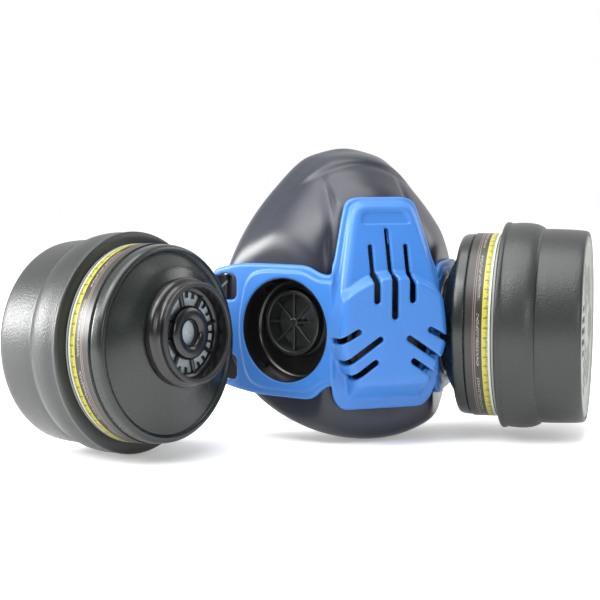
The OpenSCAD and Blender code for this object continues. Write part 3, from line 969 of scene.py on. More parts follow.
class Repeater:
    """Geometry Nodes trees that set out copies of one element."""

    def __init__(self) -> None:
        """Builds the trees once."""
        self.around = self._around()
        self.stations = self._stations()

    @staticmethod
    def _tree(name: str,
              sockets: dict[str, str]) -> tuple[bpy.types.NodeTree, bpy.types.Node, bpy.types.Node]:
        """Starts a tree.

        Args:
            name: the tree's name.
            sockets: socket types by the inputs' names.

        Returns:
            The tree, its input node and its output node.
        """
        tree = bpy.data.node_groups.new(name, "GeometryNodeTree")
        for label, kind in sockets.items():
            tree.interface.new_socket(label, in_out="INPUT", socket_type=kind)
        tree.interface.new_socket("Geometry", in_out="OUTPUT", socket_type="NodeSocketGeometry")
        return tree, tree.nodes.new("NodeGroupInput"), tree.nodes.new("NodeGroupOutput")

    @staticmethod
    def _finish(tree: bpy.types.NodeTree, start: bpy.types.Node, end: bpy.types.Node,
                copies: bpy.types.NodeSocket) -> None:
        """Ends a tree in Realize Instances and Set Material.

        Args:
            tree: the tree.
            start: its input node.
            end: its output node.
            copies: the socket that gives the copies.
        """
        real = tree.nodes.new("GeometryNodeRealizeInstances")
        coat = tree.nodes.new("GeometryNodeSetMaterial")
        tree.links.new(copies, real.inputs[0])
        tree.links.new(real.outputs[0], coat.inputs["Geometry"])
        tree.links.new(start.outputs["Material"], coat.inputs["Material"])
        tree.links.new(coat.outputs[0], end.inputs[0])

    def _around(self) -> bpy.types.NodeTree:
        """Builds the tree for copies round the Z axis.

        Returns:
            The tree, with inputs for the count, the first turn and the step.
        """
        tree, start, end = self._tree("set_round_axis", {
            "Element": "NodeSocketGeometry", "Count": "NodeSocketInt", "Start": "NodeSocketFloat",
            "Step": "NodeSocketFloat", "Material": "NodeSocketMaterial"})
        points = tree.nodes.new("GeometryNodePoints")
        tree.links.new(start.outputs["Count"], points.inputs["Count"])
        number = tree.nodes.new("GeometryNodeInputIndex")
        turn = tree.nodes.new("ShaderNodeMath")
        turn.operation = "MULTIPLY_ADD"
        tree.links.new(number.outputs[0], turn.inputs[0])
        tree.links.new(start.outputs["Step"], turn.inputs[1])
        tree.links.new(start.outputs["Start"], turn.inputs[2])
        vector = tree.nodes.new("ShaderNodeCombineXYZ")
        tree.links.new(turn.outputs[0], vector.inputs[2])
        copies = tree.nodes.new("GeometryNodeInstanceOnPoints")
        tree.links.new(points.outputs[0], copies.inputs["Points"])
        tree.links.new(start.outputs["Element"], copies.inputs["Instance"])
        tree.links.new(vector.outputs[0], copies.inputs["Rotation"])
        self._finish(tree, start, end, copies.outputs[0])
        return tree

    def _stations(self) -> bpy.types.NodeTree:
        """Builds the tree for copies on a mesh's points, turned by its "along" and "up" vectors.

        Returns:
            The tree, with inputs for the stations and the element.
        """
        tree, start, end = self._tree("set_on_stations", {
            "Stations": "NodeSocketGeometry", "Element": "NodeSocketObject",
            "Material": "NodeSocketMaterial"})
        held = []
        for label in ("up", "along"):
            named = tree.nodes.new("GeometryNodeInputNamedAttribute")
            named.data_type = "FLOAT_VECTOR"
            named.inputs["Name"].default_value = label
            held.append(named)
        turned = tree.nodes.new("FunctionNodeAxesToRotation")
        turned.primary_axis, turned.secondary_axis = "Z", "X"
        tree.links.new(held[0].outputs[0], turned.inputs[0])
        tree.links.new(held[1].outputs[0], turned.inputs[1])
        element = tree.nodes.new("GeometryNodeObjectInfo")
        tree.links.new(start.outputs["Element"], element.inputs["Object"])
        copies = tree.nodes.new("GeometryNodeInstanceOnPoints")
        tree.links.new(start.outputs["Stations"], copies.inputs["Points"])
        tree.links.new(element.outputs["Geometry"], copies.inputs["Instance"])
        tree.links.new(turned.outputs[0], copies.inputs["Rotation"])
        self._finish(tree, start, end, copies.outputs[0])
        return tree

    @staticmethod
    def _run(base: bpy.types.Mesh, tree: bpy.types.NodeTree, values: dict) -> bpy.types.Mesh:
        """Runs a tree on a mesh.

        Args:
            base: the mesh that the tree starts from.
            tree: the tree.
            values: values of its inputs, by name.

        Returns:
            The plain result.
        """
        carrier = bpy.data.objects.new("carrier", base)
        bpy.context.scene.collection.objects.link(carrier)
        modifier = carrier.modifiers.new("repeat", "NODES")
        modifier.node_group = tree
        inputs = {item.name: item.identifier for item in tree.interface.items_tree if item.in_out == "INPUT"}
        for label, value in values.items():
            modifier[inputs[label]] = value
        mesh = Workshop.settle(carrier)
        mesh.shade_smooth()
        mesh.set_sharp_from_angle(angle=math.radians(40))
        return mesh

    def ring(self, element: Shape, place: Place, count: int, stuff: Stuff,
             start: float = 0.0) -> bpy.types.Mesh:
        """Copies an element round a place's Z axis, evenly.

        Args:
            element: the shape at turn 0, in local millimetres.
            place: the frame whose Z axis they stand round.
            count: how many.
            stuff: the finish.
            start: turn of the first, in degrees.

        Returns:
            The copies as one mesh in the row frame.
        """
        base = bpy.data.meshes.new("element")
        base.from_pydata(element.points.tolist(), [], element.faces)
        Workshop.turn_outwards(base)
        mesh = self._run(base, self.around, {
            "Count": count, "Start": math.radians(start), "Step": math.radians(360.0 / count),
            "Material": stuff.material})
        mesh.transform(place.matrix())
        mark_edges(mesh)
        return mesh

    def along(self, element: Shape, points: np.ndarray, along: np.ndarray, up: np.ndarray,
              place: Place, stuff: Stuff) -> bpy.types.Mesh:
        """Copies an element onto stations, its X axis along and its Z axis up.

        Args:
            element: the shape at the origin, in local millimetres.
            points: the stations.
            along: direction of the element's X axis at each.
            up: direction of the element's Z axis at each.
            place: the frame that the stations lie in.
            stuff: the finish.

        Returns:
            The copies as one mesh in the row frame.
        """
        body = bpy.data.meshes.new("element")
        body.from_pydata(element.points.tolist(), [], element.faces)
        Workshop.turn_outwards(body)
        holder = bpy.data.objects.new("element", body)
        base = bpy.data.meshes.new("stations")
        base.from_pydata(points.tolist(), [], [])
        for label, vectors in (("along", along), ("up", up)):
            base.attributes.new(label, "FLOAT_VECTOR", "POINT").data.foreach_set(
                "vector", vectors.astype(np.float32).ravel())
        mesh = self._run(base, self.stations, {"Element": holder, "Material": stuff.material})
        bpy.data.objects.remove(holder)
        mesh.transform(place.matrix())
        mark_edges(mesh)
        return mesh


# ---------------------------------------------------------------- front frame


class Side(Enum):
    """Sides of the mask, as seen from the front."""

    LEFT = -1
    RIGHT = 1

    @property
    def word(self) -> str:
        """The side's name in node names."""
        return self.name.lower()


def mask_place() -> Place:
    """The mask's own frame: X from its middle, Y back from the hood's face, Z up from the table."""
    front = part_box("front_frame")[0]
    return Place.facing((middle("facepiece_cup")[0], front[1], 0.0), (0, 0, 1), (1, 0, 0))


@dataclass
class FrontFrame:
    """Blue moulding: a panel with a vented hood, and two wings that turn back."""

    # the panel and the wings; a crease lies at x, y, and a lean is the height where it starts and its slope
    crease: tuple[float, float] = (25.5, 11.8)
    crease_soft: float = 1.0
    turn: float = 56.0
    wall: float = 3.0
    rim_soft: float = 1.6
    top_lean: tuple[float, float] = (79, 0.206)
    low_lean: tuple[float, float] = (27, 0.17)
    margin_sink: float = 0.7
    end_bend: float = 0.005
    bend_start: float = 53.0
    # the raised line on each crease
    ridge: float = 0.55
    ridge_half: float = 0.7
    ridge_low: tuple[float, float] = (21, 25)
    ridge_high: tuple[float, float] = (76, 79)
    # holes in the wings: distance from the crease and height, then radius, or half the space between windows
    port: tuple[float, float, float] = (26.2, 50.5, 23.4)
    window: tuple[float, float, float] = (59.5, 50.0, 18.5)
    window_half: tuple[float, float] = (5.5, 6.0)
    # the hood; its step is an arch: its height in the middle, its drop at a half width, and that half width
    hood_wall: float = 2.2
    hood_thick: float = 1.6
    hood_soft: float = 2.6
    hood_draft: float = 0.07
    chamfer: float = 1.5
    arch: tuple[float, float, float] = (76.5, 9.5, 23.5)
    arch_half: float = 2.2
    arch_depth: float = 3.4
    arch_lean: tuple[float, float] = (68, 0.27)
    name_sink: float = 0.8
    # the hood's lower face: its height in front, its slope, and the length of that slope's normal
    base_height: float = 29.5
    base_slope: float = 0.64
    base_length: float = 1.19
    # the exhale valve's hole: height, radius, and how far back it starts
    valve: tuple[float, float, float] = (46, 14.5, 9.0)
    # vents end this far before the panel, and further back above a height
    vent_back: float = 0.8
    vent_lean: tuple[float, float] = (84, 0.35)
    slots: tuple[tuple[float, float, float, float, float], ...] = (
        (0, 58.5, 0, 75, 1.5), (0, 75, 0, 95.5, 1.0), (8.4, 65.5, 8.4, 76, 1.5), (8.4, 76, 8.4, 88.5, 1.0),
        (17.1, 52, 31, 44.6, 1.35), (6.9, 48.5, 31, 32.3, 1.35), (9, 38.4, 27, 26.2, 1.35))
    far: float = -30.0

    def __post_init__(self) -> None:
        """Works out the outlines of the panel, a wing's plateau, the hood and its name plate."""
        x, far = self.crease[0], self.far
        self.rim = Outline([
            (far, 16, 0), (19.5, 16, 4), (23.4, 21, 2), (25.2, 27.6, 3), (30, 26.4, 3), (x + 12, 20, 4),
            (x + 42, 20, 6), (x + 54, 21.5, 4), (x + 70, 24.5, 5), (x + 70, 76, 5), (x + 54, 79.5, 4),
            (x + 42, 80, 8), (x + 14.5, 80, 5), (x + 7, 76.4, 4), (x + 1.5, 76, 4), (23.8, 80.5, 5),
            (21.4, 90, 10), (18.2, 102.5, 5), (15.6, 110, 7), (far, 110, 0)])
        self.plateau = Outline([
            (-20, 31, 0), (4, 30, 4), (13, 23.4, 5), (40, 23.2, 8), (48, 27, 8), (53.5, 50, 22),
            (48, 73, 8), (40, 77, 8), (15.5, 77, 5), (8, 73.2, 4), (-20, 73, 0)])
        self.hood = Outline([
            (far, 8, 0), (16.6, 8, 0), (17.2, 29.5, 4), (20.6, 34.5, 5), (24, 42, 5), (25.4, 47, 3),
            (25.4, 51, 3), (24.9, 57, 6), (23.4, 67, 8), (21.6, 76, 10), (15.2, 101.5, 6), (12.6, 107, 6),
            (far, 107, 0)])
        self.name_plate = Outline([(far, 98, 0), (12.4, 98, 2), (10.2, 104.4, 4), (far, 104.4, 0)])

    def distance(self, x: np.ndarray, y: np.ndarray, z: np.ndarray) -> np.ndarray:
        """Distance to the moulding.

        Args:
            x: distance from the mask's middle.
            y: distance back from the hood's face.
            z: height.

        Returns:
            The distance, negative inside the moulding.
        """
        x = np.abs(x)
        turn = math.radians(self.turn)
        dx, dy = x - self.crease[0], y - self.crease[1]
        along = dx * math.cos(turn) + dy * math.sin(turn)
        out = dx * math.sin(turn) - dy * math.cos(turn)
        (top, top_slope), (low, low_slope) = self.top_lean, self.low_lean
        face = self.crease[1] + larger((z - top) * top_slope, (low - z) * low_slope, 1.0)
        face = larger(face, self.crease[1] + 0 * z, 1.0)
        margin = rise(self.plateau(along, z), -0.8, 0.5) * rise(along, -3.0, 0.5)
        wing = out + self.margin_sink * margin
        wing = wing + self.end_bend * np.maximum(along - self.bend_start, 0) ** 2
        line = np.exp(-(along / self.ridge_half) ** 2) * rise(z, *self.ridge_low)
        line = line * rise(-z, -self.ridge_high[1], -self.ridge_high[0])
        front = larger(face - y, wing, self.crease_soft) - self.ridge * line
        beyond = dx * math.cos(turn / 2) + dy * math.sin(turn / 2) > 0
        rim = self.rim(np.where(beyond, self.crease[0] + along, x), z)
        plate = larger(np.maximum(front, -front - self.wall), rim, self.rim_soft)
        body = self.with_hood(plate, front, x, y, z)
        return self.with_holes(body, along, z)

    def with_hood(self, plate: np.ndarray, front: np.ndarray, x: np.ndarray, y: np.ndarray,
                  z: np.ndarray) -> np.ndarray:
        """Adds the hood, its cavity and its vents to the plate.

        Args:
            plate: distance to the plate.
            front: distance to the plate's front faces.
            x: distance from the mask's middle.
            y: distance back from the hood's face.
            z: height.

        Returns:
            Distance to the plate with its hood.
        """
        sides = self.hood(x, z)
        middle_height, drop, half = self.arch
        step = middle_height - drop * (x / half) ** 2
        plate_sink = self.name_sink * rise(-self.name_plate(x, z), 0.0, 0.7)
        base = (self.base_height - self.base_slope * y - z) / self.base_length

        def shell(inset: float) -> np.ndarray:
            """Distance to the hood's outside, set in."""
            low, high = step - self.arch_half - inset * 0.8, step + self.arch_half - inset * 0.4
            depth = self.arch_depth + self.arch_lean[1] * (z - self.arch_lean[0])
            face = rise(z, low, high) * depth + plate_sink
            side, front_face = sides - self.hood_draft * y + inset, face + inset - y
            upright = larger(larger(side, front_face, 1.0), (side + front_face) * 0.707 + self.chamfer, 0.9)
            return larger(upright, base + inset, self.hood_soft)

        outer = np.maximum(shell(0.0), -front - self.wall)
        inner = np.maximum(shell(self.hood_wall), y - self.crease[1] - 0.6)
        body = larger(smaller(plate, outer, 1.2), -inner, 0.6)
        body = larger(body, -np.maximum(shell(self.hood_wall + self.hood_thick), y - 25.0), 0.6)
        valve_z, valve_r, valve_front = self.valve
        valve = np.sqrt(x ** 2 + (z - valve_z) ** 2) - valve_r
        body = np.maximum(body, -np.maximum(valve, valve_front - y))
        vents = np.minimum.reduce([capsule(x, z, s[:2], s[2:4], s[4]) for s in self.slots])
        limit = self.crease[1] - self.vent_back + self.vent_lean[1] * np.maximum(z - self.vent_lean[0], 0)
        return larger(body, -np.maximum(vents, y - limit), 0.9)

    def with_holes(self, body: np.ndarray, along: np.ndarray, z: np.ndarray) -> np.ndarray:
        """Cuts the port's hole and the strap windows into the wings.

        Args:
            body: distance to the moulding.
            along: distance from the crease along the wing.
            z: height.

        Returns:
            Distance to the moulding with its holes.
        """
        port = np.sqrt((along - self.port[0]) ** 2 + (z - self.port[1]) ** 2) - self.port[2]
        body = larger(body, -port, 1.0)
        for side in (-1, 1):
            high = z - self.window[1] - side * self.window[2]
            gap = larger(np.abs(along - self.window[0]) - self.window_half[0],
                         np.abs(high) - self.window_half[1], 4.0)
            body = larger(body, -gap, 0.9)
        return body

    def build(self, shop: Workshop, place: Place) -> None:
        """Makes the frame.

        Args:
            shop: the workshop.
            place: the mask's frame.
        """
        pitch = 0.6
        shape = surface_net(self.distance, (-67, -1.5, 14), (67, 74, 112), pitch)
        shop.form("front_frame_moulding", shape, place, Stuff.FRAME, "facepiece", "front_frame", smooth=60)


# ---------------------------------------------------------------- cup


@dataclass
class Cup:
    """Soft facepiece: a smooth bowl cut to the wings, with a rolled lip and a fold over the nose."""

    wall: float = 2.6
    lip_roll: float = 3.0
    lip_in: float = 7.5
    sides: int = 192
    rows: int = 84
    # the fold's height in the middle, its drop at a half width, and that half width
    fold: tuple[float, float, float] = (125.0, 6.0, 21.0)
    fold_high: float = 1.2
    patch_high: float = 0.7
    groove_deep: float = 1.1
    # the groove beside the fold: distance from the middle, the height where that holds, lean and half width
    groove: tuple[float, float, float, float] = (20.5, 100, 0.12, 1.8)
    # each ring of the bowl: top y, top z, low y, low z, half width, upper share, cheek
    rings: tuple[tuple[float, ...], ...] = (
        (21, 104, 17.5, 20, 22, 0.12, 0), (27, 112, 17, 9, 35, 0.16, 0), (36, 119, 20, 2.5, 45.5, 0.22, 0),
        (47, 127, 29, 0, 53, 0.26, 1), (57, 130.5, 39, 0.5, 57, 0.27, 3), (64, 132, 49, 3, 59, 0.27, 5),
        (69, 130, 56, 7, 57.5, 0.27, 6))

    def row_at(self, v: np.ndarray) -> np.ndarray:
        """Ring values between the rings, on smooth curves through them.

        Args:
            v: places from 0 at the first ring, in steps of 1.

        Returns:
            A row of ring values for each place.
        """
        rings = np.array(self.rings)
        i = np.clip(v.astype(int), 0, len(rings) - 2)
        t = (v - i)[:, None]
        at = [rings[np.clip(i + k, 0, len(rings) - 1)] for k in (-1, 0, 1, 2)]
        return 0.5 * (2 * at[1] + (at[2] - at[0]) * t + (2 * at[0] - 5 * at[1] + 4 * at[2] - at[3]) * t ** 2
                      + (3 * at[1] - at[0] - 3 * at[2] + at[3]) * t ** 3)

    @staticmethod
    def lay(rows: np.ndarray, angle: np.ndarray, inset: np.ndarray, back: np.ndarray) -> np.ndarray:
        """Points of rings, set in and moved back.

        Args:
            rows: ring values.
            angle: turns round each ring, from its bottom.
            inset: how far each ring is set in.
            back: how far each ring is moved back.

        Returns:
            Rows of points.
        """
        top_y, top_z, low_y, low_z, half, share, cheek = (rows[:, k, None] for k in range(7))
        inset, back = inset[:, None], back[:, None]
        s = (1 - np.cos(angle)) / 2
        x = (half - inset) * np.sin(angle) * (1 + share * np.cos(angle))
        y = low_y + (top_y - low_y) * s + cheek * np.sin(angle) ** 2 + back
        z = low_z + inset + (top_z - low_z - 2 * inset) * s
        return np.stack([x, y, z], axis=2)

    def skin(self) -> tuple[np.ndarray, np.ndarray]:
        """The outer surface with its lip.

        Returns:
            Rows of points, and how much painted glow of light through the thin rubber each row gets.
        """
        angle = np.linspace(0, 2 * math.pi, self.sides, endpoint=False)[None, :]
        v = np.linspace(0, len(self.rings) - 1, self.rows)
        bowl = self.lay(self.row_at(v), angle, 0 * v, 0 * v)
        roll = np.radians(np.linspace(12, 150, 10))
        flat = np.linspace(0.2, 1.0, 5) * self.lip_in
        inset = np.concatenate([self.lip_roll * (1 - np.cos(roll)), self.lip_roll * 1.87 + flat])
        back = np.concatenate([self.lip_roll * np.sin(roll), self.lip_roll * 0.5 - flat * 0.25])
        last = np.repeat(np.array(self.rings[-1:], float), len(inset), axis=0)
        lip = self.lay(last, angle, inset, back)
        points = np.concatenate([bowl, lip])
        points[: self.rows] += self.relief(bowl)
        points = self.behind_wings(points)
        # painted light: the rear rings fade into the painted glow, and the lip takes it fully
        bloom = np.concatenate([rise(v, 4.6, 6.0) * 0.55, np.full(len(inset), 0.6)])
        return points, bloom

    def relief(self, bowl: np.ndarray) -> np.ndarray:
        """Fold over the nose and the grooves beside it.

        Args:
            bowl: rows of points.

        Returns:
            Moves along the surface's normal.
        """
        across = np.roll(bowl, -1, axis=1) - np.roll(bowl, 1, axis=1)
        down = np.gradient(bowl, axis=0)
        normal = np.cross(down, across)
        normal /= np.maximum(np.linalg.norm(normal, axis=2, keepdims=True), 1e-9)
        x, _, z = np.moveaxis(bowl, 2, 0)
        fold = self.fold[0] - self.fold[1] * (x / self.fold[2]) ** 2
        above = rise(z - fold, -0.9, 0.7) * rise(-np.abs(x), -34.0, -18.0)
        patch = rise(z, 100.0, 108.0) * rise(-np.abs(x), -19.0, -15.5) * rise(-(z - fold), 0.0, 4.0)
        out, level, lean, half = self.groove
        groove = np.exp(-((np.abs(x) - out - (level - z) * lean) / half) ** 2)
        groove = groove * rise(z, 76, 90) * rise(-z, -119, -108)
        height = self.fold_high * above + self.patch_high * patch - self.groove_deep * groove
        outward = np.sign((normal * (bowl - np.array([0, 60.0, 60.0]))).sum(2, keepdims=True))
        height = height * rise(-z, -131.5, -126.0)
        return normal * outward * height[:, :, None]

    @staticmethod
    def behind_wings(points: np.ndarray, clear: float = 3.4) -> np.ndarray:
        """Presses points that would stand before the wings' inner faces back onto them.

        Args:
            points: rows of points.
            clear: distance to keep from the wings' front faces.

        Returns:
            The moved rows.
        """
        turn, (cx, cy) = math.radians(FrontFrame.turn), FrontFrame.crease
        side = np.sign(points[:, :, 0])
        out = (np.abs(points[:, :, 0]) - cx) * math.sin(turn) - (points[:, :, 1] - cy) * math.cos(turn)
        wanted = smaller(out, np.full_like(out, -clear), 3.0)
        move = wanted - out
        points = points.copy()
        points[:, :, 0] += side * move * math.sin(turn)
        points[:, :, 1] -= move * math.cos(turn)
        points[:, :, 1] = np.maximum(points[:, :, 1], FrontFrame.crease[1] + FrontFrame.wall + 0.35)
        return points

    def build(self, shop: Workshop, place: Place, cutters: list[tuple[Place, float, float, float]]) -> None:
        """Makes the cup.

        Args:
            shop: the workshop.
            place: the mask's frame.
            cutters: place, radius, lowest and highest height of each round hole.
        """
        points, bloom = self.skin()
        front = points[0]
        hub = front.mean(0)
        disc = [hub + (front - hub) * s for s in (0.3, 0.65)]
        grid = np.concatenate([np.array(disc), points])
        rows, sides = grid.shape[:2]
        bloom = np.concatenate([[0, 0], bloom])
        flat = np.vstack([grid.reshape(-1, 3), hub])
        faces = [[j * sides + i, j * sides + (i + 1) % sides, (j + 1) * sides + (i + 1) % sides,
                  (j + 1) * sides + i] for j in range(rows - 1) for i in range(sides)]
        faces += [[rows * sides, (i + 1) % sides, i] for i in range(sides)]
        skin = shop.mesh("cup_skin", Shape(flat, faces), place, 60)
        # painted light: each point carries its row's share of the painted glow
        tone = np.append(np.repeat(bloom, sides), 0).astype(np.float32)
        skin.attributes.new("bloom", "FLOAT", "POINT").data.foreach_set("value", tone)
        carrier = bpy.data.objects.new("cup", skin)
        bpy.context.scene.collection.objects.link(carrier)
        if self.faces_inwards(skin, place.spot((0, 60, 60))):
            skin.flip_normals()
        thick = carrier.modifiers.new("wall", "SOLIDIFY")
        thick.thickness, thick.offset, thick.use_even_offset = self.wall * MM, -1.0, True
        holders = []
        for at, radius, low, high in cutters:
            solid = lathe(np.array([(0, low), (radius, low), (radius, high), (0, high)], float), 96)
            holder = bpy.data.objects.new("cutter", shop.mesh("cutter", solid, at))
            bpy.context.scene.collection.objects.link(holder)
            cut = carrier.modifiers.new("hole", "BOOLEAN")
            cut.operation, cut.object, cut.solver = "DIFFERENCE", holder, "EXACT"
            holders.append(holder)
        mesh = shop.settle(carrier)
        for holder in holders:
            bpy.data.objects.remove(holder)
        mesh.shade_smooth()
        mesh.set_sharp_from_angle(angle=math.radians(50))
        shop.piece("cup_moulding", mesh, Stuff.CUP, "facepiece", "facepiece_cup")

    @staticmethod
    def faces_inwards(mesh: bpy.types.Mesh, inside: Vector) -> bool:
        """Finds how the bowl's faces look.

        Args:
            mesh: the bowl.
            inside: a point inside it.

        Returns:
            Whether most of them look towards the point.
        """
        votes = sum(1 if (p.center - inside).dot(p.normal) > 0 else -1 for p in mesh.polygons[:4000])
        return votes < 0


# ---------------------------------------------------------------- ports


@dataclass
class Port:
    """Socket, spoked valve seat and nut on one wing; heights run out of the port from the wing's face."""

    side: Side
    # radii of the socket, and its heights
    bore: float = 23.05
    sleeve: float = 23.37
    shell: float = 24.75
    seat: float = 15.45
    top: float = -3.0
    floor: float = -12.0
    back: float = -15.0
    seat_up: float = 3.0
    # the seat's place off the port's axis
    seat_lift: float = 2.6
    seat_out: float = 1.8
    rim_top: float = -8.2
    spokes: int = 8
    lugs: int = 4
    nut_ribs: int = 24
    # room in the cup round the socket and its nut
    shell_room: float = 0.35
    nut_room: float = 2.4

    def place(self) -> Place:
        """Finds the port's frame.

        Returns:
            The frame, its Z axis out of the port from the wing's face, its X axis down.
        """
        out = -joint_axis(f"inhale_{self.side.word}_open")
        origin = middle(f"port_socket_{self.side.word}") - out * (self.top + self.back) / 2 * MM
        return Place.facing(origin, out, (0, 0, -1))

    def cutters(self) -> list[tuple[Place, float, float, float]]:
        """Holes that the port needs in the cup: place, radius, lowest and highest height."""
        return [(self.place(), self.shell + self.shell_room, -40.0, 6.0),
                (self.place(), self.shell + self.nut_room, -24.0, -5.95)]

    def build(self, shop: Workshop, repeater: Repeater) -> None:
        """Makes the port's pieces.

        Args:
            shop: the workshop.
            repeater: the trees for copies.
        """
        word, place = self.side.word, self.place()
        profile = rounded([
            (self.sleeve, -0.25, 0.1), (self.sleeve, self.top + 0.05, 0), (self.shell, self.top, 0.4),
            (self.shell, self.back, 0.8), (self.seat + 0.05, self.back, 0.3),
            (self.seat + 0.05, self.floor, 0.5),
            (self.bore, self.floor, 3.4), (self.bore, -0.25, 0.1)])
        drift = np.where(profile[:, 0] < 17.0, self.seat_up, 0.0)
        shop.form(f"{word}_socket", lathe(profile, 144, True, drift), place, Stuff.SOCKET, "facepiece",
                  f"port_socket_{word}")
        lug = rounded_bar((21.4, -1.6, -9.2), (23.15, 1.6, -5.2), 0.3)
        lugs = repeater.ring(lug, place, self.lugs, Stuff.SOCKET, 45.0)
        shop.piece(f"{word}_socket_lugs", lugs, Stuff.SOCKET, "facepiece")
        aside = self.side.value * self.seat_out
        centre = Place(np.array(place.spot((-self.seat_lift, aside, 0))), place.x, place.y, place.z)
        self.build_seat(shop, repeater, centre)
        self.build_nut(shop, repeater, place)
        shop.dress(Stuff.FLAP, f"inhale_flap_{word}")

    def build_seat(self, shop: Workshop, repeater: Repeater, centre: Place) -> None:
        """Makes the valve seat: a ring, its spokes and the peg that holds the flap.

        Args:
            shop: the workshop.
            repeater: the trees for copies.
            centre: the port's frame, moved to the seat's axis.
        """
        word = self.side.word
        top = self.rim_top
        low, high = self.back + 0.3, self.floor - 0.2
        ring = ring_lathe([
            (17.6, low, 0.2), (17.6, high, 0.2), (15.25, high, 0.4), (15.25, top - 0.9, 0.7),
            (14.6, top, 0.6), (13.1, top - 0.2, 0.5), (12.7, top - 3.6, 0.4), (11.2, low, 0.3)])
        shop.form(f"{word}_seat_ring", ring, centre, Stuff.SEAT, "facepiece", f"inhale_seat_{word}")
        spoke = rounded_bar((1.2, -0.5, top - 3.4), (13.3, 0.5, top - 1.5), 0.2)
        spokes = repeater.ring(spoke, centre, self.spokes, Stuff.SEAT)
        shop.piece(f"{word}_seat_spokes", spokes, Stuff.SEAT, "facepiece")
        peg = rounded([
            (0, top - 1.2, 0), (2.0, top - 1.2, 0.6), (2.4, top - 2.4, 0.3), (2.3, -14.4, 0.3),
            (1.95, -14.8, 0.2), (1.95, -18.3, 0.1), (3.0, -18.4, 0.3), (2.6, -18.9, 0.3),
            (0, -18.9, 0)], closed=False)
        shop.form(f"{word}_seat_peg", lathe(peg, 48), centre, Stuff.SEAT, "facepiece")

    def build_nut(self, shop: Workshop, repeater: Repeater, place: Place) -> None:
        """Makes the ring nut behind the cup, with gripping ribs.

        Args:
            shop: the workshop.
            repeater: the trees for copies.
            place: the port's frame.
        """
        word = self.side.word
        low, high = self.top - 6.2, self.top - 3.2
        nut = ring_lathe([(24.9, low, 0.3), (26.2, low, 0.5), (26.2, high, 0.5), (24.9, high, 0.3)])
        shop.form(f"{word}_nut", nut, place, Stuff.SEAT, "facepiece", f"port_nut_{word}")
        rib = rounded_bar((26.0, -1.0, low + 0.1), (26.75, 1.0, high - 0.1), 0.25)
        ribs = repeater.ring(rib, place, self.nut_ribs, Stuff.SEAT)
        shop.piece(f"{word}_nut_ribs", ribs, Stuff.SEAT, "facepiece")


def rounded_bar(low: tuple[float, float, float], high: tuple[float, float, float], soft: float) -> Shape:
    """A box along X whose long edges are cut back.

    Args:
        low: its lowest corner.
        high: its highest corner.
        soft: how far the edges are cut back.

    Returns:
        The box.
    """
    (x0, y0, z0), (x1, y1, z1) = low, high
    section = [(y0 + soft, z0), (y1 - soft, z0), (y1, z0 + soft), (y1, z1 - soft), (y1 - soft, z1),
               (y0 + soft, z1), (y0, z1 - soft), (y0, z0 + soft)]
    points = [(x, y, z) for x in (x0, x1) for y, z in section]
    count = len(section)
    faces = [[i, (i + 1) % count, count + (i + 1) % count, count + i] for i in range(count)]
    faces += [list(range(count))[::-1], list(range(count, 2 * count))]
    return Shape(np.array(points, float), faces)


# ---------------------------------------------------------------- filters


class Held(Enum):
    """Where a filter is."""

    FITTED = "fitted"
    LOOSE = "loose"


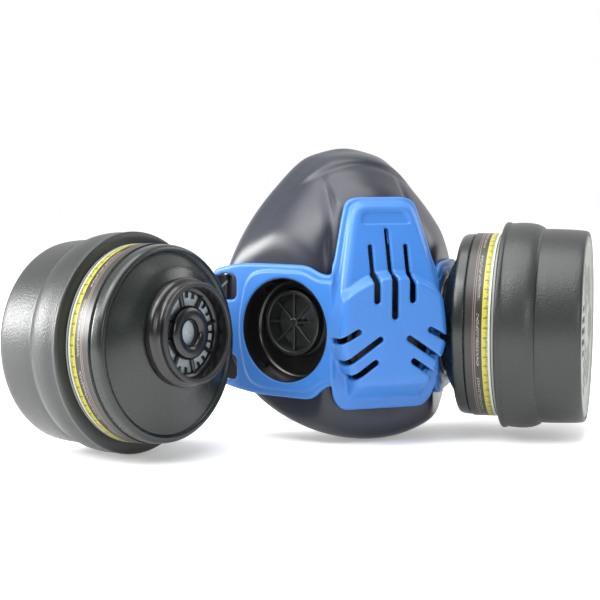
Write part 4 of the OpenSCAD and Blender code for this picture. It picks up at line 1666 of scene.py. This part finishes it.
@dataclass
class Filter:
    """Round filter: a canister with an off-centre collar, and a cap that holds a particulate pad.

    Heights run from the middle of the cap's ring towards the collar.
    """

    held: Held
    band: tuple[float, float] = (10.3, 22.7)
    band_thick: float = 0.3
    radius: float = 42.0
    wall: float = 1.8
    collar_off: float = 5.0
    # the cap: radii of its large ring and of its step, and the height of its outer plate
    ring: float = 47.75
    step: float = 44.6
    back: float = -28.0
    plate_radius: float = 41.95
    # the collar's grille
    bars: int = 8
    first_bar: float = 11.0
    # the cap's slots: their lengths in a sector, their spacing and half width, and a sector's distance out
    reaches: tuple[float, ...] = (11.0, 15.0, 18.0, 15.0, 11.0)
    slot_pitch: float = 5.0
    slot_half: float = 1.4
    sector_out: float = 21.0
    sectors: int = 6

    @property
    def word(self) -> str:
        """The filter's name in node names."""
        return self.held.value

    def place(self) -> Place:
        """Finds the filter's frame.

        Returns:
            The frame, from the middle of the cap's ring, its Z axis towards the collar.
        """
        toward = -joint_axis(f"{self.word}_cap_pull")
        toward = toward / np.linalg.norm(toward)
        origin = middle(f"{self.word}_label_band") - toward * sum(self.band) / 2 * MM
        off = middle(f"{self.word}_gasket") - origin
        return Place.facing(origin, toward, -(off - toward * (off @ toward)))

    def collar_place(self) -> Place:
        """Moves the filter's frame to the collar's axis."""
        place = self.place()
        return Place(np.array(place.spot((-self.collar_off, 0, 0))), place.x, place.y, place.z)

    def build(self, shop: Workshop, repeater: Repeater) -> None:
        """Makes the filter's pieces and dresses what is inside it.

        Args:
            shop: the workshop.
            repeater: the trees for copies.
        """
        self.build_canister(shop)
        self.build_collar(shop, repeater)
        self.build_cap(shop)
        self.build_grille(shop)
        shop.dress(Stuff.CARBON, f"{self.word}_carbon_bed")
        shop.dress(Stuff.SCREEN, f"{self.word}_screen")
        shop.dress(Stuff.MEDIA, f"{self.word}_media_disc")
        LOG.info("%s_filter is done", self.word)

    def build_canister(self, shop: Workshop) -> None:
        """Makes the canister's shell and the printed band round it.

        Args:
            shop: the workshop.
        """
        r, inner = self.radius, self.radius - self.wall
        word, body, place = self.word, f"{self.word}_filter", self.place()
        profile = rounded([
            (r, -12, 0.3), (r, 22.7, 0.5), (r - 0.8, 23.0, 0.3), (r - 0.7, 23.4, 0.3), (r, 23.8, 0.8),
            (r - 0.4, 28.9, 3.4), (38.9, 29.3, 1.3), (38.1, 28.2, 0.5), (27.0, 33.6, 5.0), (21.6, 35.6, 1.5),
            (21.0, 33.4, 0.3), (25.6, 33.0, 0.6), (inner, 23.4, 1.0), (inner, -12, 0.3)], steps=8)
        lean = np.clip((38.1 - profile[:, 0]) / 10.6, 0.0, 1.0)
        drift = self.collar_off * lean * (profile[:, 1] > 24.0)
        shell = lathe(profile, 160, True, drift)
        shop.form(f"{word}_canister_shell", shell, place, Stuff.CANISTER, body, f"{word}_canister")
        (low, high), near = self.band, r + 0.05
        far = near + self.band_thick
        band = lathe(np.array([(near, low), (far, low), (far, high), (near, high)]), 160, True)
        shop.form(f"{word}_band", band, place, Stuff.LABEL, body, f"{word}_label_band")

    def build_collar(self, shop: Workshop, repeater: Repeater) -> None:
        """Makes the collar, its seal and the grille that holds the media.

        Args:
            shop: the workshop.
            repeater: the trees for copies.
        """
        word, body, place = self.word, f"{self.word}_filter", self.collar_place()
        collar = ring_lathe([
            (18.95, 33.6, 0.3), (21.6, 34.6, 0.3), (22.9, 36.0, 1.2), (22.95, 39.4, 1.6), (20.9, 40.6, 0.9),
            (20.4, 42.0, 0.9), (20.95, 43.9, 0.5), (18.95, 43.9, 0.3)], 144)
        shop.form(f"{word}_collar", collar, place, Stuff.SOCKET, body)
        seal = ring_lathe([
            (18.95, 43.95, 0.2), (21.0, 43.95, 0.3), (21.3, 44.7, 0.5), (20.6, 45.15, 0.5),
            (19.3, 45.15, 0.5), (18.9, 44.6, 0.4)], 144)
        shop.form(f"{word}_seal", seal, place, Stuff.GASKET, body, f"{word}_gasket")
        rim = ring_lathe([(18.9, 37.35, 0.2), (18.9, 39.4, 0.4), (17.2, 38.8, 0.4), (16.7, 37.35, 0.2)])
        shop.form(f"{word}_grille_rim", rim, place, Stuff.SOCKET, body, f"{word}_collar_grille")
        hub = ring_lathe([(11.5, 37.4, 1.2), (11.2, 41.4, 2.4), (5.2, 41.4, 2.4), (4.9, 37.4, 1.2)])
        shop.form(f"{word}_grille_hub", hub, place, Stuff.SOCKET, body)
        bar = rounded_bar((10.6, -0.85, 37.4), (17.6, 0.85, 39.2), 0.4)
        bars = repeater.ring(bar, place, self.bars, Stuff.SOCKET, self.first_bar)
        shop.piece(f"{word}_grille_bars", bars, Stuff.SOCKET, body)
        tooth = rounded_bar((14.4, -0.55, 37.4), (17.4, 0.55, 38.6), 0.25)
        step = 360.0 / self.bars
        for turn in (self.first_bar + step / 3, self.first_bar + 2 * step / 3):
            teeth = repeater.ring(tooth, place, self.bars, Stuff.SOCKET, turn)
            shop.piece(f"{word}_grille_teeth_{round(turn)}", teeth, Stuff.SOCKET, body)

    def build_cap(self, shop: Workshop) -> None:
        """Makes the cap's ring and step, and the pad that it holds.

        Args:
            shop: the workshop.
        """
        word, body, place = self.word, f"{self.word}_retainer", self.place()
        r, s, back = self.ring, self.step, self.back
        cap = ring_lathe([
            (42.05, 10.0, 0.3), (r - 2.0, 10.0, 1.0), (r - 0.2, 9.4, 0.8), (r - 0.3, 7.8, 0.6),
            (r - 0.8, 7.2, 0.5), (r - 0.3, 1.0, 6.0), (r - 1.0, -4.6, 1.6), (s + 0.7, -7.6, 1.4),
            (s - 0.1, -7.9, 0.5), (s, -12.0, 2.0), (s - 0.3, -21.5, 4.0), (s - 0.8, back + 0.4, 3.6),
            (42.2, back, 0.5), (42.05, back + 3.0, 0.3)], 192)
        shop.form(f"{word}_cap_shell", cap, place, Stuff.CAP, body, f"{word}_cap")
        # the pad takes the near-black finish, a painted shadow seen through the slots
        pad = rounded([
            (0, -20.5, 0), (30, -20.8, 6), (40.8, -21.6, 2), (41.4, -18, 2), (41.4, -12.5, 0.8),
            (0, -12.4, 0)], closed=False)
        shop.form(f"{word}_pad", lathe(pad, 96), place, Stuff.PAD, body, f"{word}_particulate_pad")

    def grille_distance(self, x: np.ndarray, y: np.ndarray, z: np.ndarray) -> np.ndarray:
        """Distance to the cap's outer plate, with its sectors of slots.

        Args:
            x: distance from the cap's axis.
            y: distance from the cap's axis, square to x.
            z: height.

        Returns:
            The distance, negative inside the plate.
        """
        across = np.sqrt(x ** 2 + y ** 2)
        plate = larger(across - self.plate_radius, np.abs(z - self.back - 1.25) - 1.1, 1.2)
        dish = 0.5 * rise(38.6 - across, 0.0, 1.2)
        plate = np.maximum(plate, self.back + 0.15 + dish - z)
        slots = np.full(np.broadcast(x, y).shape, 1e3)
        for i in range(self.sectors):
            turn = math.radians(i * 360.0 / self.sectors)
            u = x * math.cos(turn) + y * math.sin(turn) - self.sector_out
            v = y * math.cos(turn) - x * math.sin(turn)
            if i % 2:
                u, v = v, u
            for k, reach in enumerate(self.reaches):
                at, end = (k - 2) * self.slot_pitch, reach / 2 - 1.2
                slots = np.minimum(slots, capsule(u, v, (at, -end), (at, end), self.slot_half))
        return larger(plate, -slots, 0.7)

    def build_grille(self, shop: Workshop) -> None:
        """Makes the cap's slotted outer plate.

        Args:
            shop: the workshop.
        """
        pitch = 0.62
        shape = surface_net(self.grille_distance, (-43, -43, self.back - 1), (43, 43, self.back + 4), pitch)
        shop.form(f"{self.word}_cap_plate", shape, self.place(), Stuff.GRILLE, f"{self.word}_retainer",
                  f"{self.word}_cap_grille", smooth=60)


# ---------------------------------------------------------------- harness


Route = Sequence[tuple[float, float, float, float]]


@dataclass
class Harness:
    """Webbing that comes through the wings' windows to a head cradle and a neck clasp."""

    width: float = 11.0
    thick: float = 1.3
    # where the cradle and the clasp lie
    harness_x: float = 14.0
    cradle_y: float = 112.0
    clasp_y: float = 87.0
    # inner and outer edge of the bar at the wing's end, from the crease
    bar: float = 65.0
    wing_end: float = 70.0
    # points on each stretch between two knots, the stretches that are sewn, the stitches' spacing and rows
    steps: int = 8
    sewn: tuple[float, float] = (7.5, 10.5)
    stitch_step: int = 3
    stitch_row: float = 3.6
    upper: Route = (
        (62, 77.5, 67, 0.05), (57, 84, 62, 0.15), (51, 91, 50, 0.3), (45, 98, 35, 0.5),
        (38, 103, 22, 0.75), (31, 107.5, 11, 0.95), (24, 111, 4.5, 1), (16.6, 112, 3.4, 1))
    lower: Route = (
        (61.5, 78.5, 31, 0), (55, 86, 29, 0.1), (46, 90.5, 24, 0.3), (38, 92, 16, 0.55),
        (31, 91, 8, 0.85), (24, 89, 3.2, 1), (12.3, 87, 1.9, 1))

    def fold(self, z: float) -> list[tuple[float, float, float, float]]:
        """Route through a window and round the bar at the wing's end.

        Args:
            z: the window's height.

        Returns:
            Points x, y, z and turn, on the right side.
        """
        off, wall = self.thick / 2 + 0.45, FrontFrame.wall
        plan = [(self.bar - 4.5, -wall + 0.6), (self.bar - 1.8, -wall / 2 - 0.3), (self.bar - 1, -0.1),
                (self.bar + 0.6, off - 0.35), (self.wing_end - 0.4, off - 0.9),
                (self.wing_end + off + 0.1, -0.6), (self.wing_end + off + 0.1, -wall - 0.6)]
        turn, (cx, cy) = math.radians(FrontFrame.turn), FrontFrame.crease
        return [(cx + s * math.cos(turn) + d * math.sin(turn),
                 cy + s * math.sin(turn) - d * math.cos(turn), z, 0) for s, d in plan]

    def ribbon(self, route: Route, side: Side) -> tuple[Shape, dict[str, np.ndarray]]:
        """A webbing ribbon along a route.

        Args:
            route: points x, y, z and turn from upright to flat, on the right side.
            side: the side of the mask.

        Returns:
            The ribbon, and the lines along it: centre, along, wide and thin.
        """
        knots = np.array(route, float)
        knots[:, 0] = side.value * knots[:, 0] + self.harness_x * knots[:, 3]
        centre, turn = self.smooth(knots[:, :3]), self.smooth(knots[:, 3:])[:, 0]
        along = np.gradient(centre, axis=0)
        along /= np.linalg.norm(along, axis=1, keepdims=True)
        level = np.stack([-along[:, 1], along[:, 0], 0 * turn], axis=1)
        level /= np.maximum(np.linalg.norm(level, axis=1, keepdims=True), 1e-9)
        wish = np.outer(np.cos(turn * math.pi / 2), (0, 0, 1)) \
            - side.value * level * np.sin(turn * math.pi / 2)[:, None]
        wide = wish - along * (wish * along).sum(1, keepdims=True)
        wide /= np.linalg.norm(wide, axis=1, keepdims=True)
        thin = np.cross(along, wide)
        w, t = self.width / 2, self.thick / 2
        section = [(-w, 0), (-w + 0.25, -t), (-w + 1.2, -t), (-w + 1.5, -t * 0.75), (0, -t * 0.8),
                   (w - 1.5, -t * 0.75), (w - 1.2, -t), (w - 0.25, -t), (w, 0)]
        section += [(a, -b) for a, b in section[-2:0:-1]]
        rings = np.stack([centre + wide * a + thin * b for a, b in section], axis=1)
        rows, count = rings.shape[:2]
        run = np.concatenate([[0], np.cumsum(np.linalg.norm(np.diff(centre, axis=0), axis=1))]) * MM
        across = [(a + w) / (2 * w) for a, _ in section]
        faces, uv = [], []
        for j in range(rows - 1):
            for i in range(count):
                n = (i + 1) % count
                faces.append([j * count + i, j * count + n, (j + 1) * count + n, (j + 1) * count + i])
                uv += [(run[j], across[i]), (run[j], across[n]),
                       (run[j + 1], across[n]), (run[j + 1], across[i])]
        for j in (0, rows - 1):
            faces.append([j * count + i for i in range(count)])
            uv += [(run[j], a) for a in across]
        lines = {"centre": centre, "along": along, "wide": wide, "thin": thin}
        return Shape(rings.reshape(-1, 3), faces, uv), lines

    def smooth(self, knots: np.ndarray) -> np.ndarray:
        """Draws a smooth curve through knots.

        Args:
            knots: rows of values.

        Returns:
            Rows of values on the curve.
        """
        count = len(knots)
        out = []
        for i in range(count - 1):
            a, b, c, d = (knots[min(max(i + k, 0), count - 1)] for k in (-1, 0, 1, 2))
            for t in np.linspace(0, 1, self.steps, endpoint=False):
                out.append(0.5 * (2 * b + (c - a) * t + (2 * a - 5 * b + 4 * c - d) * t ** 2
                                  + (3 * b - a - 3 * c + d) * t ** 3))
        return np.array([*out, knots[-1]])

    def build(self, shop: Workshop, repeater: Repeater, place: Place) -> None:
        """Makes the harness.

        Args:
            shop: the workshop.
            repeater: the trees for copies.
            place: the mask's frame.
        """
        stitch = rounded_bar((-0.9, -0.2, -0.12), (0.9, 0.2, 0.22), 0.1)
        for side in Side:
            for name, route, up in (("upper", self.upper, 1), ("lower", self.lower, -1)):
                knots = [*self.fold(FrontFrame.window[1] + up * FrontFrame.window[2]), *route]
                shape, lines = self.ribbon(knots, side)
                word = f"{name}_strap_{side.word}"
                shop.form(f"{word}_webbing", shape, place, Stuff.WEBBING, "facepiece", word, smooth=50)
                marks = self.stitches(lines)
                mesh = repeater.along(stitch, *marks, place, Stuff.CRADLE)
                shop.piece(f"{word}_stitches", mesh, Stuff.CRADLE, "facepiece")
        self.build_cradle(shop, place)
        self.build_clasp(shop, place)

    def stitches(self, lines: dict[str, np.ndarray]) -> tuple[np.ndarray, np.ndarray, np.ndarray]:
        """Stations of the sewing that closes the loop round the wing's end.

        Args:
            lines: centre, along, wide and thin of a ribbon.

        Returns:
            The stations, and the stitches' directions along and up.
        """
        first, last = (int(stretch * self.steps) for stretch in self.sewn)
        spots, along, up = [], [], []
        for j in range(first, last, self.stitch_step):
            for across in (-self.stitch_row, self.stitch_row):
                for face in (-1, 1):
                    spots.append(lines["centre"][j] + lines["wide"][j] * across
                                 + lines["thin"][j] * face * self.thick * 0.42)
                    along.append(lines["along"][j])
                    up.append(lines["thin"][j] * face)
        return np.array(spots), np.array(along), np.array(up)

    def build_cradle(self, shop: Workshop, place: Place) -> None:
        """Makes the soft head cradle that the upper straps end on.

        Args:
            shop: the workshop.
            place: the mask's frame.
        """
        at = Place(np.array(place.spot((self.harness_x, self.cradle_y, 0))), place.x, place.y, place.z)

        def distance(x: np.ndarray, y: np.ndarray, z: np.ndarray) -> np.ndarray:
            """Distance to the pad, with its rib and its two holes."""
            plan = smaller(larger(np.abs(x) - 16, np.abs(y) - 15, 8.0),
                           larger(np.abs(x) - 27.5, np.abs(y) - 8.5, 4.0), 3.0)
            plan = larger(plan, -(np.sqrt((np.abs(x) - 8) ** 2 + y ** 2) - 5), 1.0)
            rib = 0.28 * rise(-np.abs(plan + 2.2), -0.9, -0.3)
            return larger(plan, np.abs(z - 1.34) - 1.0 - rib, 1.0)

        shape = surface_net(distance, (-29, -17, -1), (29, 17, 4), 0.7)
        shop.form("cradle_pad", shape, at, Stuff.CRADLE, "facepiece", "head_cradle", smooth=60)

    def build_clasp(self, shop: Workshop, place: Place) -> None:
        """Makes both halves of the neck clasp.

        Args:
            shop: the workshop.
            place: the mask's frame.
        """
        at = Place(np.array(place.spot((self.harness_x, self.clasp_y, 0.4))), place.x, place.y, place.z)

        def hook(x: np.ndarray, y: np.ndarray, z: np.ndarray) -> np.ndarray:
            """Distance to the half with the tongue."""
            body = block(x, y, z, (1, -8, 0), (11.2, 8, 3), 1.6)
            tongue = np.minimum(block(x, y, z, (-4, -4, 2), (3, 4, 3), 0.6),
                                block(x, y, z, (-4, -4, 0.9), (-2.8, 4, 2.6), 0.4))
            return smaller(body, tongue, 0.8)

        def bar(x: np.ndarray, y: np.ndarray, z: np.ndarray) -> np.ndarray:
            """Distance to the half that the tongue hooks into."""
            body = block(x, y, z, (-11.2, -8, 0), (0.5, 8, 3), 1.6)
            body = larger(body, -block(x, y, z, (-5, -5, -4), (-0.4, 5, 8), 0.8), 0.5)
            return larger(body, -block(x, y, z, (-6, -5, 1.7), (4, 5, 8), 0.5), 0.5)

        for name, distance in (("hook", hook), ("bar", bar)):
            shape = surface_net(distance, (-13, -9.5, -1), (13, 9.5, 4.5), 0.35)
            shop.form(f"clasp_{name}_half", shape, at, Stuff.CLASP, "facepiece", f"neck_clasp_{name}",
                      smooth=60)


def block(x: np.ndarray, y: np.ndarray, z: np.ndarray, low: Sequence[float], high: Sequence[float],
          soft: float) -> np.ndarray:
    """Distance to a box with rounded edges.

    Args:
        x: first coordinate of the places.
        y: second coordinate of the places.
        z: third coordinate of the places.
        low: its lowest corner.
        high: its highest corner.
        soft: how far the rounding reaches.

    Returns:
        The distance, negative inside the box.
    """
    sides = [np.abs(v - (a + b) / 2) - (b - a) / 2 for v, a, b in zip((x, y, z), low, high)]
    return larger(larger(sides[0], sides[1], soft), sides[2], soft)


# ---------------------------------------------------------------- studio


@dataclass(frozen=True)
class Softbox:
    """A square lamp aimed at the object."""

    name: str
    spot: tuple[float, float, float]
    size: float
    power: float


@dataclass
class Studio:
    """Pale floor, white surroundings, soft lamps and the camera, which is placed from the mask."""

    eye: tuple[float, float, float] = (-256.0, -598.0, 122.5)
    tilt: float = 85.0
    pan: float = -19.5
    lens: float = 90.0
    surround: float = 1.0
    room: float = 0.16
    lamps: tuple[Softbox, ...] = (
        Softbox("overhead", (-0.15, -0.1, 0.95), 0.9, 11.0),
        Softbox("left", (-0.85, -0.20, 0.90), 0.7, 12.0),
        Softbox("front", (0.05, -1.25, 0.45), 0.35, 3.0),
        Softbox("rim", (-1.0, 0.35, 0.35), 0.4, 16.0),
        Softbox("right", (0.95, 0.0, 0.40), 0.5, 3.0))

    def build(self, mask: Place) -> None:
        """Sets up the scene.

        Args:
            mask: the mask's frame.
        """
        scene = bpy.context.scene
        camera = bpy.data.objects.new("camera", bpy.data.cameras.new("camera"))
        scene.collection.objects.link(camera)
        camera.data.lens, camera.data.sensor_width = self.lens, 36.0
        camera.location = mask.spot(self.eye)
        camera.rotation_euler = (math.radians(self.tilt), 0.0, math.radians(self.pan))
        scene.camera = camera
        scene.view_settings.view_transform = "Standard"
        world = bpy.data.worlds.new("white")
        world.use_nodes = True
        scene.world = world
        graph = Graph(world.node_tree)
        world.node_tree.nodes.clear()
        ways = graph.node("ShaderNodeTexCoord", None, {}, "Generated")
        parts = graph.node("ShaderNodeSeparateXYZ", None, {0: ways})
        behind = Value(graph, parts.node, 1).ramp(-0.25, 0.25)
        above = Value(graph, parts.node, 2).ramp(0.35, 0.85) * 0.8
        light = graph.blend(behind, graph.blend(above, tint(WHITE, self.room), WHITE), WHITE)
        shader = graph.node("ShaderNodeBackground", None, {"Color": light, "Strength": self.surround})
        graph.node("ShaderNodeOutputWorld", None, {"Surface": shader})
        for lamp in self.lamps:
            self.add_lamp(lamp, scene)
        self.add_floor(scene)

    @staticmethod
    def add_lamp(lamp: Softbox, scene: bpy.types.Scene) -> None:
        """Adds one lamp.

        Args:
            lamp: its size, place and power.
            scene: the scene.
        """
        data = bpy.data.lights.new(lamp.name, "AREA")
        data.shape, data.size, data.energy = "SQUARE", lamp.size, lamp.power
        holder = bpy.data.objects.new(lamp.name, data)
        holder.location = lamp.spot
        holder.rotation_euler = (Vector((0, 0, 0.06)) - holder.location).to_track_quat("-Z", "Y").to_euler()
        scene.collection.objects.link(holder)

    @staticmethod
    def add_floor(scene: bpy.types.Scene) -> None:
        """Adds the floor.

        Args:
            scene: the scene.
        """
        mesh = bpy.data.meshes.new("floor")
        half = 3.0
        corners = [(-half, -half, 0), (half, -half, 0), (half, half, 0), (-half, half, 0)]
        mesh.from_pydata(corners, [], [[0, 1, 2, 3]])
        made = bpy.data.materials.new("floor")
        made.use_nodes = True
        graph = Graph(made.node_tree)
        made.node_tree.nodes.clear()
        tone = graph.blend(graph.noise(300.0, 2.0), (0.86, 0.86, 0.86), (0.9, 0.9, 0.9))
        shader = graph.node("ShaderNodeBsdfPrincipled", None, {
            "Base Color": tone, "Roughness": 0.6, "Emission Color": (*WHITE, 1.0), "Emission Strength": 0.3})
        graph.node("ShaderNodeOutputMaterial", None, {"Surface": shader})
        mesh.materials.append(made)
        floor = bpy.data.objects.new("floor", mesh)
        scene.collection.objects.link(floor)


# ---------------------------------------------------------------- the object


def main() -> None:
    """Builds the respirator and its studio."""
    logging.basicConfig(level=logging.INFO, format="%(name)s: %(message)s")
    shop, repeater, mask = Workshop(), Repeater(), mask_place()
    Studio().build(mask)
    ports = [Port(side) for side in Side]
    valve = Place.facing(mask.spot((0, 14.8, 46)), (0, -1, 0), (0, 0, -1))
    cutters = [(valve, 15.8, -12.0, 12.0)]
    for port in ports:
        port.build(shop, repeater)
        cutters += port.cutters()
    Cup().build(shop, mask, cutters)
    FrontFrame().build(shop, mask)
    shop.dress(Stuff.SEAT, "exhale_seat")
    shop.dress(Stuff.FLAP, "exhale_flap")
    for held in Held:
        Filter(held).build(shop, repeater)
    Harness().build(shop, repeater, mask)
    LOG.info("%d pieces", len(shop.made))


if __name__ == "__main__":
    main()
